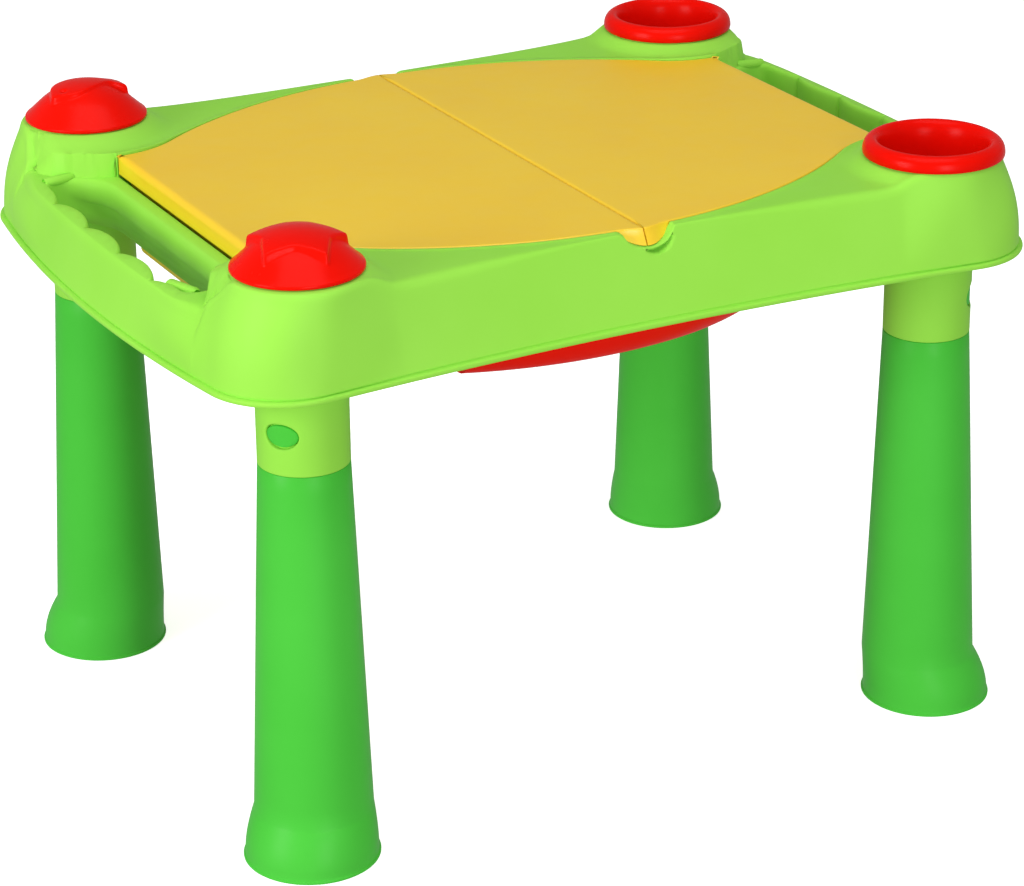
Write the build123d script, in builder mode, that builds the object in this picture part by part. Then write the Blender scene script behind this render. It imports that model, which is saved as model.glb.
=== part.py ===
"""Children's sand and water table: a waisted tray on four push-in legs, two hanging tubs,
two lid halves, two drop-in cups, a star mould and a fish mould.

Frame: origin on the floor under the middle of the table, +X along the long side, +Z up.
Millimetres throughout. "front" is -Y and "left" is -X.
"""

import os
from math import atan2, cos, radians, sin, sqrt

from build123d import *

os.makedirs("parts", exist_ok=True)

# Tray
LIP_Z = 421.0
LEDGE_Z = 499.0
POCKET_Z = 478.0
TURRET_TOP_Z = 509.0
WALL = 4.0
LIP_END, LIP_END_CORNER = 395.0, 366.0
LIP_SIDE, LIP_SIDE_CORNER = 274.5, 296.5
CREASE_END, CREASE_END_CORNER = 372.0, 356.0
CREASE_SIDE, CREASE_SIDE_CORNER = 247.0, 281.0
LIP_FILLET, CREASE_FILLET = 69.0, 58.0
BEAD_HEIGHT = 4.5
BEAD_PROUD = 2.0
CORNER_X, CORNER_Y = 296.0, 222.0
TURRET_R = 58.0
TURRET_FOOT_R = 68.0
POCKET_WALL_R = 78.0

# Lid opening: bowed long sides that run tangent into a scallop round each turret
LID_LENGTH = 300.0
LID_WIDTH = 240.0
SCALLOP_R = 83.0
LID_TOP_Z = 497.0
LID_FOOT_Z = 480.0
SHELF_Z = 477.0
SHELF_DEPTH = 6.0
BASIN_FOOT_Z = 432.0
SEAM_GAP = 0.6
TAB_LONG, TAB_SHORT = 36.0, 21.0
TAB_DEPTH, TAB_HEIGHT = 14.0, 12.0

# Handle slots at both ends
SLOT_INNER_X = 320.0
SLOT_OUTER_X = 368.0
SLOT_HALF_Y = 140.0
FINGER_PITCH = 70.0
FINGER_DEPTH = 6.0
GRIP_DEPTH = 24.0

# Wells, leg sockets and legs
WELL_R = 48.0
WELL_FLOOR_Z = 430.0
WELL_WALL = 3.0
SOCKET_R = 37.4
SOCKET_BORE_R = 34.0
SOCKET_FOOT_Z = 347.6
SPIGOT_R = 33.7
SPIGOT_TOP_Z = 424.0
LEG_WALL = 3.0
LEG_TOP_R = 37.4
LEG_ANKLE_R = 49.6
LEG_ANKLE_Z = 42.0
LEG_SPLAY = 3.0
FOOT_R = 57.0
FOOT_OFFSET_X, FOOT_OFFSET_Y = 8.5, 9.0

# Latch in each leg top
BUTTON_Z = 381.0
BUTTON_ANGLE = 36.9
BUTTON_FACE_R = 36.2
BUTTON_SIZE = (28.0, 18.0)
WINDOW_SIZE = (31.0, 21.0)
TONGUE_WIDTH = 20.0
TONGUE_FOOT_Z, TONGUE_TOP_Z = 353.0, 402.0
TONGUE_GAP = 0.8

# Tubs
TUB_WALL = 3.0
FLANGE_THICK = 2.6
TUB_SPLIT_X = -129.0
TUB_GAP = 4.0
TUB_INSET = 7.2
SAND_FLOOR_Z = 408.0
WATER_KNEE_Z = 382.0
WATER_FLOOR_Z = 367.0

# Cups and sand moulds
CUP_RIM_R = 60.3
CUP_RIM_TOP_Z = 519.8
CUP_RIM_FOOT_Z = 505.4
CUP_SKIRT_R = 58.6
CUP_NECK_R = 46.2
CUP_MOUTH_R = 43.5
CUP_FLOOR_R = 39.0
CUP_FLOOR_Z = 438.0
CUP_WALL = 2.6
MOULD_R = 53.3
MOULD_TOP_Z = 541.5
STAR_R, STAR_NOTCH_R = 41.0, 28.0
CROWN_R = 90.0
MOULD_WALL = 3.0
MOULD_BRIM = 3.6
MOULD_SHOULDER_R, MOULD_SHOULDER_Z = 41.0, 523.3
MOULD_APEX_Z = 539.5
STAR_TURN = 64.0
FISH_OUTLINE = [
    (-35.5, -10.5), (-28.0, -15.5), (-17.0, -20.0), (-6.0, -19.0), (6.0, -13.5), (16.0, -6.5),
    (23.0, -2.5), (31.0, -5.5), (39.0, -7.0), (37.5, 5.0), (38.0, 18.0), (30.0, 15.5),
    (22.0, 9.5), (12.0, 13.5), (0.0, 18.5), (-12.0, 20.5), (-22.0, 17.5), (-28.5, 11.0),
]
FISH_EYE = (-23.0, -9.3)
EYE_R = 2.4

CORNERS = {
    "front_left": (-1, -1),
    "front_right": (1, -1),
    "back_left": (-1, 1),
    "back_right": (1, 1),
}

# The bowed side is the arc that touches both its own middle and the scallop circles.
RISE = LID_WIDTH - CORNER_Y
SIDE_R = (CORNER_X**2 + RISE**2 - SCALLOP_R**2) / (2 * (SCALLOP_R + RISE))
SIDE_CENTRE_Y = LID_WIDTH - SIDE_R


def save(part, name):
    """Label a finished piece and write it as one STEP file."""
    part.label = name
    export_step(part, f"parts/{name}.step")


def rounded_quad(end, end_corner, side, side_corner):
    """Four arcs meeting at the corners: bulging ends and waisted or bulging long sides."""
    for sign in (-1, 1):
        ThreePointArc(
            (sign * end_corner, -side_corner), (sign * end, 0), (sign * end_corner, side_corner)
        )
        ThreePointArc(
            (-end_corner, sign * side_corner), (0, sign * side), (end_corner, sign * side_corner)
        )


def tray_section(height, end, end_corner, side, side_corner, corner_r, inset=0.0):
    """Horizontal outline of the tray at one height, shrunk by inset."""
    with BuildSketch(Plane.XY.offset(height)) as section:
        with BuildLine():
            rounded_quad(end - inset, end_corner - inset, side - inset, side_corner - inset)
        make_face()
        fillet(section.vertices(), corner_r - inset)
    return section.sketch


def opening_lines(inset):
    """The lid opening's outline, shrunk by inset, as tangent arcs with straight ends."""
    length = LID_LENGTH - inset
    scallop = SCALLOP_R + inset
    side = SIDE_R - inset
    reach = sqrt(CORNER_X**2 + (CORNER_Y - SIDE_CENTRE_Y) ** 2)
    touch_x = CORNER_X * side / reach
    touch_y = SIDE_CENTRE_Y + (CORNER_Y - SIDE_CENTRE_Y) * side / reach
    end_y = CORNER_Y - sqrt(scallop**2 - (length - CORNER_X) ** 2)
    first = atan2(touch_y - CORNER_Y, touch_x - CORNER_X)
    last = atan2(end_y - CORNER_Y, length - CORNER_X)
    middle = (first + last) / 2
    mid_x = CORNER_X + scallop * cos(middle)
    mid_y = CORNER_Y + scallop * sin(middle)
    for sy in (-1, 1):
        ThreePointArc((-touch_x, sy * touch_y), (0, sy * (LID_WIDTH - inset)), (touch_x, sy * touch_y))
        for sx in (-1, 1):
            ThreePointArc(
                (sx * touch_x, sy * touch_y), (sx * mid_x, sy * mid_y), (sx * length, sy * end_y)
            )
    for sx in (-1, 1):
        Line((sx * length, -end_y), (sx * length, end_y))


def opening_section(height, inset, low_x=-LIP_END, high_x=LIP_END):
    """The lid opening as a flat face at one height, kept between two X values."""
    with BuildSketch(Plane.XY.offset(height)) as section:
        with BuildLine():
            opening_lines(inset)
        make_face()
        with Locations(((low_x + high_x) / 2, 0)):
            Rectangle(high_x - low_x, 2 * LIP_END, mode=Mode.INTERSECT)
    return section.sketch


def slot_lines(sx):
    """Handle slot: straight inner edge, finger scallops along the outer edge."""
    quarter = FINGER_PITCH / 4
    count = 6
    start = -count * quarter
    inner = sx * SLOT_INNER_X
    outer = sx * SLOT_OUTER_X
    Line((outer, -SLOT_HALF_Y), (inner, -SLOT_HALF_Y))
    Line((inner, -SLOT_HALF_Y), (inner, SLOT_HALF_Y))
    Line((inner, SLOT_HALF_Y), (outer, SLOT_HALF_Y))
    Line((outer, -SLOT_HALF_Y), (outer, start))
    for step in range(count):
        low = start + 2 * step * quarter
        bump = -FINGER_DEPTH if step % 2 else FINGER_DEPTH
        ThreePointArc(
            (outer, low), (outer + sx * bump, low + quarter), (outer, low + 2 * quarter)
        )
    Line((outer, -start), (outer, SLOT_HALF_Y))


def corner_centres():
    """Plan positions of the four turrets."""
    return [(sx * CORNER_X, sy * CORNER_Y) for sx, sy in CORNERS.values()]


def turret_cones(top_z, inset):
    """The cones that carry the turrets down into the skirt."""
    height = top_z - LIP_Z
    with Locations(*[(x, y, LIP_Z + height / 2) for x, y in corner_centres()]):
        Cone(TURRET_FOOT_R - inset, TURRET_R + 1.5 - inset, height)


def build_tray():
    """Shell with a sloping skirt, a ledge round the lid opening and a handle at each end."""
    lip = (LIP_END, LIP_END_CORNER, LIP_SIDE, LIP_SIDE_CORNER, LIP_FILLET)
    crease = (CREASE_END, CREASE_END_CORNER, CREASE_SIDE, CREASE_SIDE_CORNER, CREASE_FILLET)
    with BuildPart() as envelope:
        add(tray_section(LIP_Z, *lip, inset=BEAD_PROUD))
        add(tray_section(LEDGE_Z, *crease))
        loft()
        turret_cones(LEDGE_Z, 0.0)
    with BuildPart() as hollow:
        add(tray_section(LIP_Z, *lip, inset=BEAD_PROUD + WALL))
        add(tray_section(LEDGE_Z - WALL, *crease, inset=WALL))
        loft()
        turret_cones(LEDGE_Z - WALL, WALL)
    with BuildPart() as tray:
        add(envelope.part)
        add(hollow.part, mode=Mode.SUBTRACT)
        # bead round the skirt's foot
        with BuildSketch(Plane.XY.offset(LIP_Z)):
            add(tray_section(0, *lip))
            add(tray_section(0, *lip, inset=BEAD_PROUD + WALL), mode=Mode.SUBTRACT)
        extrude(amount=BEAD_HEIGHT)
        # raised turrets
        with BuildSketch(Plane.XY.offset(LEDGE_Z - WALL)):
            with Locations(*corner_centres()):
                Circle(TURRET_R + 1.5)
        extrude(amount=TURRET_TOP_Z - LEDGE_Z + WALL, taper=8)
        # wall round the opening, then the shelf and the narrower wall under it
        add(opening_section(SHELF_Z - WALL, -WALL))
        extrude(amount=LEDGE_Z - SHELF_Z)
        add(opening_section(BASIN_FOOT_Z, SHELF_DEPTH - WALL + 1))
        extrude(amount=SHELF_Z - WALL - BASIN_FOOT_Z)
        add(opening_section(SHELF_Z, -1.0))
        extrude(amount=LEDGE_Z, mode=Mode.SUBTRACT)
        add(opening_section(LIP_Z, SHELF_DEPTH))
        extrude(amount=LEDGE_Z, mode=Mode.SUBTRACT)
        # lowered pocket at each end, bounded by walls concentric with the turrets
        for sx in (-1, 1):
            with BuildSketch(Plane.XY.offset(POCKET_Z)):
                with Locations((sx * (LID_LENGTH + 100), 0)):
                    Rectangle(200, 2 * CORNER_Y)
                with Locations((sx * CORNER_X, -CORNER_Y), (sx * CORNER_X, CORNER_Y)):
                    Circle(POCKET_WALL_R, mode=Mode.SUBTRACT)
            extrude(amount=LEDGE_Z, mode=Mode.SUBTRACT)
        # finger notches in the ledge at the lids' seam
        with BuildSketch(Plane.XY.offset(LID_TOP_Z - 13)):
            with Locations((8, -LID_WIDTH - 8), (-8, LID_WIDTH + 8)):
                Rectangle(62, 26)
        extrude(amount=LEDGE_Z, mode=Mode.SUBTRACT)
    with BuildPart() as ends:
        with BuildSketch(Plane.XY.offset(POCKET_Z - WALL)):
            Rectangle(2 * LIP_END, 2 * (SLOT_HALF_Y + 30))
            Rectangle(2 * LID_LENGTH, 2 * LIP_SIDE, mode=Mode.SUBTRACT)
        extrude(amount=WALL)
        with BuildSketch(Plane.XY.offset(POCKET_Z - GRIP_DEPTH)):
            Rectangle(2 * LIP_END, 2 * (SLOT_HALF_Y + 5))
            Rectangle(2 * (SLOT_OUTER_X - FINGER_DEPTH), 2 * LIP_SIDE, mode=Mode.SUBTRACT)
        extrude(amount=GRIP_DEPTH)
        with BuildSketch(Plane.XY.offset(BASIN_FOOT_Z)):
            Rectangle(2 * SLOT_INNER_X, 2 * (SLOT_HALF_Y + 5))
            Rectangle(2 * (SLOT_INNER_X - WALL), 2 * LIP_SIDE, mode=Mode.SUBTRACT)
        extrude(amount=POCKET_Z - BASIN_FOOT_Z)
        add(envelope.part, mode=Mode.INTERSECT)
        add(opening_section(SHELF_Z, -1.0))
        extrude(amount=LEDGE_Z, mode=Mode.SUBTRACT)
    with BuildPart() as finished:
        add(tray.part)
        add(ends.part)
        for sx in (-1, 1):
            with BuildSketch(Plane.XY.offset(LIP_Z)):
                with BuildLine():
                    slot_lines(sx)
                make_face()
            extrude(amount=LEDGE_Z, mode=Mode.SUBTRACT)
        with BuildSketch(Plane.XY.offset(LIP_Z - 10)):
            with Locations(*corner_centres()):
                Circle(WELL_R + WELL_WALL)
        extrude(amount=LEDGE_Z, mode=Mode.SUBTRACT)
    return finished.part


def build_socket(sx, sy):
    """Cup well above, leg socket with an oval latch window below."""
    centre = (sx * CORNER_X, sy * CORNER_Y)
    well_top = TURRET_TOP_Z - 1
    with BuildPart() as socket:
        with BuildSketch(Plane.XY.offset(WELL_FLOOR_Z - WELL_WALL)):
            with Locations(centre):
                Circle(WELL_R + WELL_WALL)
        extrude(amount=well_top - WELL_FLOOR_Z + WELL_WALL)
        with BuildSketch(Plane.XY.offset(WELL_FLOOR_Z)):
            with Locations(centre):
                Circle(WELL_R)
        extrude(amount=TURRET_TOP_Z, mode=Mode.SUBTRACT)
        with BuildSketch(Plane.XY.offset(SOCKET_FOOT_Z)):
            with Locations(centre):
                Circle(SOCKET_R)
                Circle(SOCKET_BORE_R, mode=Mode.SUBTRACT)
        extrude(amount=WELL_FLOOR_Z - WELL_WALL - SOCKET_FOOT_Z)
        with BuildSketch(latch_plane(sx, sy)):
            Ellipse(WINDOW_SIZE[0] / 2, WINDOW_SIZE[1] / 2)
        extrude(amount=SOCKET_R + 10, mode=Mode.SUBTRACT)
    return socket.part


def latch_plane(sx, sy):
    """Upright plane on the leg's axis that faces out through the latch window."""
    facing = (sx * cos(radians(BUTTON_ANGLE)), sy * sin(radians(BUTTON_ANGLE)), 0)
    across = (-facing[1], facing[0], 0)
    return Plane(origin=(sx * CORNER_X, sy * CORNER_Y, BUTTON_Z), x_dir=across, z_dir=facing)


def leg_circle(sx, sy, height, radius, out_x, out_y):
    """One round section of a leg, its centre pushed outwards from the corner axis."""
    with BuildSketch(Plane.XY.offset(height)) as section:
        with Locations((sx * (CORNER_X + out_x), sy * (CORNER_Y + out_y))):
            Circle(radius)
    return section.sketch


def leg_sections(sx, sy, inset):
    """Sections from the floor to the shoulder: a flared foot, then a straight taper."""
    knees = [
        (0.0, FOOT_R, FOOT_OFFSET_X, FOOT_OFFSET_Y),
        (16.0, FOOT_R - 0.8, FOOT_OFFSET_X - 0.5, FOOT_OFFSET_Y - 0.5),
        (30.0, FOOT_R - 3.8, (FOOT_OFFSET_X + LEG_SPLAY) / 2, (FOOT_OFFSET_Y + LEG_SPLAY) / 2),
        (LEG_ANKLE_Z, LEG_ANKLE_R, LEG_SPLAY, LEG_SPLAY),
        (SOCKET_FOOT_Z, LEG_TOP_R, 0.0, 0.0),
    ]
    return [leg_circle(sx, sy, z, r - inset, ox, oy) for z, r, ox, oy in knees]


def build_leg(sx, sy):
    """Hollow tapered leg with a closed foot and a slotted spigot that fills the socket."""
    centre = (sx * CORNER_X, sy * CORNER_Y)
    with BuildPart() as hollow:
        for section in leg_sections(sx, sy, LEG_WALL):
            add(section)
        loft(ruled=True)
        split(bisect_by=Plane.XY.offset(LEG_WALL), keep=Keep.TOP)
        split(bisect_by=Plane.XY.offset(SOCKET_FOOT_Z - LEG_WALL), keep=Keep.BOTTOM)
    with BuildPart() as leg:
        for section in leg_sections(sx, sy, 0.0):
            add(section)
        loft(ruled=True)
        with BuildSketch(Plane.XY.offset(SOCKET_FOOT_Z)):
            with Locations(centre):
                Circle(SPIGOT_R)
        extrude(amount=SPIGOT_TOP_Z - SOCKET_FOOT_Z)
        add(hollow.part, mode=Mode.SUBTRACT)
        with BuildSketch(Plane.XY.offset(SOCKET_FOOT_Z - LEG_WALL)):
            with Locations(centre):
                Circle(SPIGOT_R - LEG_WALL)
        extrude(amount=LEDGE_Z, mode=Mode.SUBTRACT)
        # slot that the latch tongue stands in
        with BuildSketch(latch_plane(sx, sy)):
            with Locations((0, (TONGUE_FOOT_Z + TONGUE_TOP_Z) / 2 - BUTTON_Z)):
                Rectangle(
                    BUTTON_SIZE[0] + 2 * TONGUE_GAP, TONGUE_TOP_Z - TONGUE_FOOT_Z + 2 * TONGUE_GAP
                )
        extrude(amount=SPIGOT_R + 1, mode=Mode.SUBTRACT)
    return leg.part


def build_latch(sx, sy):
    """Spring tongue in the leg's slot with the oval release button on it."""
    face = latch_plane(sx, sy)
    back = SPIGOT_R - LEG_WALL - 1.0
    with BuildPart() as latch:
        with BuildSketch(face.offset(back)):
            with Locations((0, (TONGUE_FOOT_Z + TONGUE_TOP_Z) / 2 - BUTTON_Z)):
                Rectangle(TONGUE_WIDTH, TONGUE_TOP_Z - TONGUE_FOOT_Z)
        extrude(amount=2.4)
        with BuildSketch(face.offset(back)):
            Ellipse(BUTTON_SIZE[0] / 2, BUTTON_SIZE[1] / 2)
        extrude(amount=BUTTON_FACE_R - back)
    return latch.part


def build_tub(low_x, high_x, sections, floor_z):
    """Hanging tub: a flange that rests on the shelf and a drafted, open-topped pan."""
    with BuildPart() as inside:
        for height, inset in sections[:-1]:
            add(opening_section(height, inset + TUB_WALL, low_x + TUB_WALL, high_x - TUB_WALL))
        last = sections[-1][1] + TUB_WALL
        add(opening_section(floor_z + TUB_WALL, last, low_x + TUB_WALL, high_x - TUB_WALL))
        loft(ruled=True)
    with BuildPart() as tub:
        for height, inset in sections:
            add(opening_section(height, inset, low_x, high_x))
        loft(ruled=True)
        add(opening_section(SHELF_Z + 0.3, 1.0, low_x - TUB_GAP / 4, high_x + TUB_GAP / 4))
        extrude(amount=FLANGE_THICK)
        add(inside.part, mode=Mode.SUBTRACT)
        mouth = sections[0][1] + TUB_WALL
        add(opening_section(SHELF_Z - 1, mouth, low_x + TUB_WALL, high_x - TUB_WALL))
        extrude(amount=WALL * 2, mode=Mode.SUBTRACT)
    return tub.part


def build_lid(sx):
    """Half lid: a flat top with a rim round its edge and a finger tab at each end of the seam."""
    low, high = (SEAM_GAP, LIP_END) if sx > 0 else (-LIP_END, -SEAM_GAP)
    with BuildPart() as lid:
        add(opening_section(LID_FOOT_Z + 0.6, 0.0, low, high))
        extrude(amount=LID_TOP_Z - LID_FOOT_Z - 0.6)
        add(opening_section(LID_FOOT_Z, 3.0, low + 3, high - 3))
        extrude(amount=LID_TOP_Z - LID_FOOT_Z - 3, mode=Mode.SUBTRACT)
        with BuildSketch(Plane.XY.offset(LID_TOP_Z - TAB_HEIGHT)):
            for side in (-1, 1):
                reach = TAB_LONG if side == -sx else TAB_SHORT
                with Locations((sx * (SEAM_GAP + reach) / 2, side * (LID_WIDTH + 1))):
                    Rectangle(reach - SEAM_GAP, TAB_DEPTH)
        extrude(amount=TAB_HEIGHT)
    return lid.part


def build_cup(sy):
    """Drop-in cup with a thick rolled rim that rests on the turret."""
    base = CUP_FLOOR_Z
    seat = TURRET_TOP_Z + 0.4
    top = CUP_RIM_TOP_Z
    crest_r = (CUP_RIM_R + CUP_MOUTH_R) / 2
    outer_r = CUP_RIM_R - 0.6
    mouth_r = CUP_MOUTH_R + 1.5
    inner_r = CUP_FLOOR_R - CUP_WALL
    with BuildPart() as cup:
        with BuildSketch(Plane.XZ):
            with BuildLine():
                Line((0, base), (CUP_FLOOR_R, base))
                Line((CUP_FLOOR_R, base), (CUP_NECK_R, seat))
                Line((CUP_NECK_R, seat), (CUP_SKIRT_R, seat))
                Line((CUP_SKIRT_R, seat), (CUP_SKIRT_R, CUP_RIM_FOOT_Z))
                Line((CUP_SKIRT_R, CUP_RIM_FOOT_Z), (outer_r, CUP_RIM_FOOT_Z))
                ThreePointArc((outer_r, CUP_RIM_FOOT_Z), (CUP_RIM_R, top - 9.8), (58.4, top - 3.8))
                ThreePointArc((58.4, top - 3.8), (crest_r, top), (mouth_r, top - 4.5))
                Line((mouth_r, top - 4.5), (CUP_MOUTH_R, top - 12))
                Line((CUP_MOUTH_R, top - 12), (inner_r, base + CUP_WALL))
                Line((inner_r, base + CUP_WALL), (0, base + CUP_WALL))
                Line((0, base + CUP_WALL), (0, base))
            make_face()
        revolve(axis=Axis.Z)
    return cup.part.moved(Location((CORNER_X, sy * CORNER_Y, 0)))


def star_outline():
    """Corner points of the five-point star."""
    points = []
    for step in range(10):
        radius = STAR_NOTCH_R if step % 2 else STAR_R
        angle = radians(STAR_TURN + 36 * step)
        points.append((radius * cos(angle), radius * sin(angle)))
    return points


def build_mould(sy, outline, eyes):
    """Hollow sand mould, stored upside down, with a shape raised on its dome."""
    foot = TURRET_TOP_Z + 0.4
    brim_z = foot + MOULD_BRIM
    shape_foot_z = brim_z + 8
    hollow_r = MOULD_R - MOULD_WALL
    with BuildPart() as crown:
        with BuildSketch(Plane.XY.offset(shape_foot_z)):
            with BuildLine():
                Polyline(*outline, close=True)
            make_face()
        extrude(amount=MOULD_TOP_Z - shape_foot_z)
        with Locations((0, 0, MOULD_TOP_Z - CROWN_R)):
            Sphere(CROWN_R, mode=Mode.INTERSECT)
        for x, y in eyes:
            with Locations((x, y, MOULD_TOP_Z - (x**2 + y**2) / (2 * CROWN_R))):
                Sphere(EYE_R, mode=Mode.SUBTRACT)
    with BuildPart() as mould:
        with BuildSketch(Plane.XZ):
            with BuildLine():
                Polyline(
                    (0, foot), (MOULD_R, foot), (MOULD_R, brim_z), (MOULD_SHOULDER_R, MOULD_SHOULDER_Z)
                )
                ThreePointArc(
                    (MOULD_SHOULDER_R, MOULD_SHOULDER_Z),
                    (MOULD_SHOULDER_R / 2, MOULD_APEX_Z - 3.6),
                    (0, MOULD_APEX_Z),
                )
                Line((0, MOULD_APEX_Z), (0, foot))
            make_face()
        revolve(axis=Axis.Z)
        add(crown.part)
        with BuildSketch(Plane.XZ):
            with BuildLine():
                Polyline(
                    (0, foot - 1),
                    (hollow_r, foot - 1),
                    (hollow_r, brim_z - MOULD_WALL / 2),
                    (MOULD_SHOULDER_R - 1, MOULD_SHOULDER_Z - MOULD_WALL - 1),
                    (MOULD_SHOULDER_R / 2, MOULD_APEX_Z - MOULD_WALL - 4),
                    (0, MOULD_APEX_Z - MOULD_WALL - 1),
                    close=True,
                )
            make_face()
        revolve(axis=Axis.Z, mode=Mode.SUBTRACT)
    return mould.part.moved(Location((-CORNER_X, sy * CORNER_Y, 0)))


save(build_tray(), "tray")

for corner, (sx, sy) in CORNERS.items():
    save(build_socket(sx, sy), f"leg_socket_{corner}")
    save(build_leg(sx, sy), f"leg_{corner}")
    save(build_latch(sx, sy), f"leg_latch_{corner}")

sand_sections = [(SHELF_Z + 0.3, TUB_INSET), (SAND_FLOOR_Z + 10, 12.5), (SAND_FLOOR_Z, 18.0)]
save(
    build_tub(-LIP_END, TUB_SPLIT_X - TUB_GAP / 2, sand_sections, SAND_FLOOR_Z),
    "sand_tub",
)
water_sections = [(SHELF_Z + 0.3, TUB_INSET), (WATER_KNEE_Z, 37.0), (WATER_FLOOR_Z, 46.0)]
save(
    build_tub(TUB_SPLIT_X + TUB_GAP / 2, LIP_END, water_sections, WATER_FLOOR_Z),
    "water_tub",
)

save(build_lid(-1), "lid_left")
save(build_lid(1), "lid_right")

save(build_cup(-1), "cup_front")
save(build_cup(1), "cup_back")
save(build_mould(-1, star_outline(), []), "star_mould_front")
save(build_mould(1, FISH_OUTLINE, [FISH_EYE]), "fish_mould_back")
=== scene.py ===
"""Looks of the children's sand and water table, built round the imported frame.

Lengths are millimetres until a mesh is made. "front" is -Y and "left" is -X.
"""

from math import atan2, cos, hypot, pi, radians, sin, sqrt

import bmesh
import bpy
import numpy as np
from mathutils import Matrix, Vector
from mathutils.geometry import delaunay_2d_cdt


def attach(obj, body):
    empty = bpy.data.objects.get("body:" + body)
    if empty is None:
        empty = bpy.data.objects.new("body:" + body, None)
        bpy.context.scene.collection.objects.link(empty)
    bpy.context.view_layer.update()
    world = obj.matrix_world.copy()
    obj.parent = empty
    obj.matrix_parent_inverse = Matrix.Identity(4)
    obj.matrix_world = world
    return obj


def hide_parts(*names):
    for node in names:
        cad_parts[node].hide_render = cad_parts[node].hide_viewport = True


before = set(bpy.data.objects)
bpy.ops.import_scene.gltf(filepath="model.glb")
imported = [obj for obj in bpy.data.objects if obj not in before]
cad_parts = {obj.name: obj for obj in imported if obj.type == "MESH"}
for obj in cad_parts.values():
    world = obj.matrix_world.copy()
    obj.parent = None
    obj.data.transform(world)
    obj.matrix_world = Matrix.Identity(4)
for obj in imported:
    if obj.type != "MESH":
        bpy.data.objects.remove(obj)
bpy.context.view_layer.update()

MM = 0.001
WELD = 0.02  # points closer than this are one point

# Tray
LIP_Z, LEDGE_Z, POCKET_Z, TURRET_TOP_Z = 421.0, 499.0, 478.0, 509.0
LIP_END, LIP_END_CORNER = 394.9, 366.0
LIP_SIDE, LIP_SIDE_CORNER = 274.5, 296.5
CREASE_SIDE, CREASE_END = 247.0, 372.0
CREASE_BEND_X, CREASE_BEND_Y = 369.5, 150.0
WAIST_CURVE = 2.75e-4
CORNER_FILLET = 69.0
BEAD_PROUD = 2.0
SKIRT_FOOT_Z = 427.6
SHELL = 3.2
CORNER_X, CORNER_Y = 296.0, 222.0
TURRET_R = 59.5
PLATEAU_Z = 498.5
FLANK_IN, FLANK_OUT = 49.0, 75.0
WELL_HOLE_R = 51.2

# Lid opening
LID_LENGTH, LID_WIDTH, SCALLOP_R = 300.0, 240.0, 83.0
SHELF_Z, SHELF_DEPTH, BASIN_FOOT_Z = 477.0, 6.0, 432.0
RISE = LID_WIDTH - CORNER_Y
SIDE_R = (CORNER_X**2 + RISE**2 - SCALLOP_R**2) / (2 * (SCALLOP_R + RISE))
SIDE_CENTRE_Y = LID_WIDTH - SIDE_R

# Finger tabs at the lids' seam, and the notches in the tray that they sit in
TAB_CENTRE, TAB_HALF, TAB_OUT, TAB_DROP = 2.2, 23.2, 4.6, 13.2
TAB_LEAN = 0.55
NOTCH_HALF, NOTCH_DROP = 23.9, 15.8

# Wells, sockets and legs
WELL_R, WELL_WALL, WELL_FLOOR_Z = 48.0, 3.0, 430.0
SOCKET_R, SOCKET_BORE_R, SOCKET_FOOT_Z = 37.4, 34.0, 347.6
SPIGOT_R, SPIGOT_TOP_Z = 33.7, 424.0
ANKLE_Z, ANKLE_R, LEG_SPLAY = 42.0, 49.6, 3.0
FOOT_R, FOOT_OFFSET = 57.0, (8.5, 9.0)
BUTTON_Z, BUTTON_ANGLE = 381.0, 36.9
BUTTON_HALF = (14.0, 9.0)
WINDOW_HALF, TONGUE_SLOT_HALF = (15.5, 10.5), 15.6
BUTTON_FACE_R = 36.2

# Tubs
TUB_WALL, TUB_GAP, TUB_SPLIT_X = 3.0, 4.0, -129.0
FLANGE_Z, SEAM_POINTS = 477.3, 26

# Cups and sand moulds
SEAT_Z = 509.4
CUP_RIM_R, CUP_RIM_TOP_Z, CUP_FLOOR_Z, CUP_WALL = 60.3, 519.8, 438.0, 2.6
MOULD_R, MOULD_TOP_Z, MOULD_WALL = 53.3, 541.5, 3.0
MOULD_KNEE_R, MOULD_KNEE_Z, DOME_R, CROWN_R = 41.0, 523.3, 60.0, 90.0
STAR_R, STAR_NOTCH_R, STAR_TURN = 42.5, 28.0, 64.0
FISH_OUTLINE = [
    (-35.5, -10.5), (-28.0, -15.5), (-17.0, -20.0), (-6.0, -19.0), (6.0, -13.5), (16.0, -6.5),
    (23.0, -2.5), (31.0, -5.5), (39.0, -7.0), (37.5, 5.0), (38.0, 18.0), (30.0, 15.5),
    (22.0, 9.5), (12.0, 13.5), (0.0, 18.5), (-12.0, 20.5), (-22.0, 17.5), (-28.5, 11.0),
]
FISH_EYE, EYE_R = (-23.0, -9.3), 2.6

CORNERS = {
    "front_left": (-1, -1),
    "front_right": (1, -1),
    "back_left": (-1, 1),
    "back_right": (1, 1),
}


# ---- small helpers


def smoothstep(low, high, value):
    """0 below low, 1 above high, and a smooth rise between."""
    t = min(max((value - low) / (high - low), 0.0), 1.0)
    return t * t * (3 - 2 * t)


def mix(a, b, t):
    """Value part of the way from a to b."""
    return a + (b - a) * t


def turret_distance(x, y):
    """Plan distance to the nearest turret's axis."""
    return hypot(abs(x) - CORNER_X, abs(y) - CORNER_Y)


def full_loop(quarter):
    """Closed counter-clockwise loop from a quarter that runs from the +X axis to the +Y axis."""
    back = quarter[::-1]
    loop = quarter[:-1]
    loop += [(-x, y) for x, y in back[:-1]]
    loop += [(-x, -y) for x, y in quarter[:-1]]
    loop += [(x, -y) for x, y in back[:-1]]
    return loop


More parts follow.
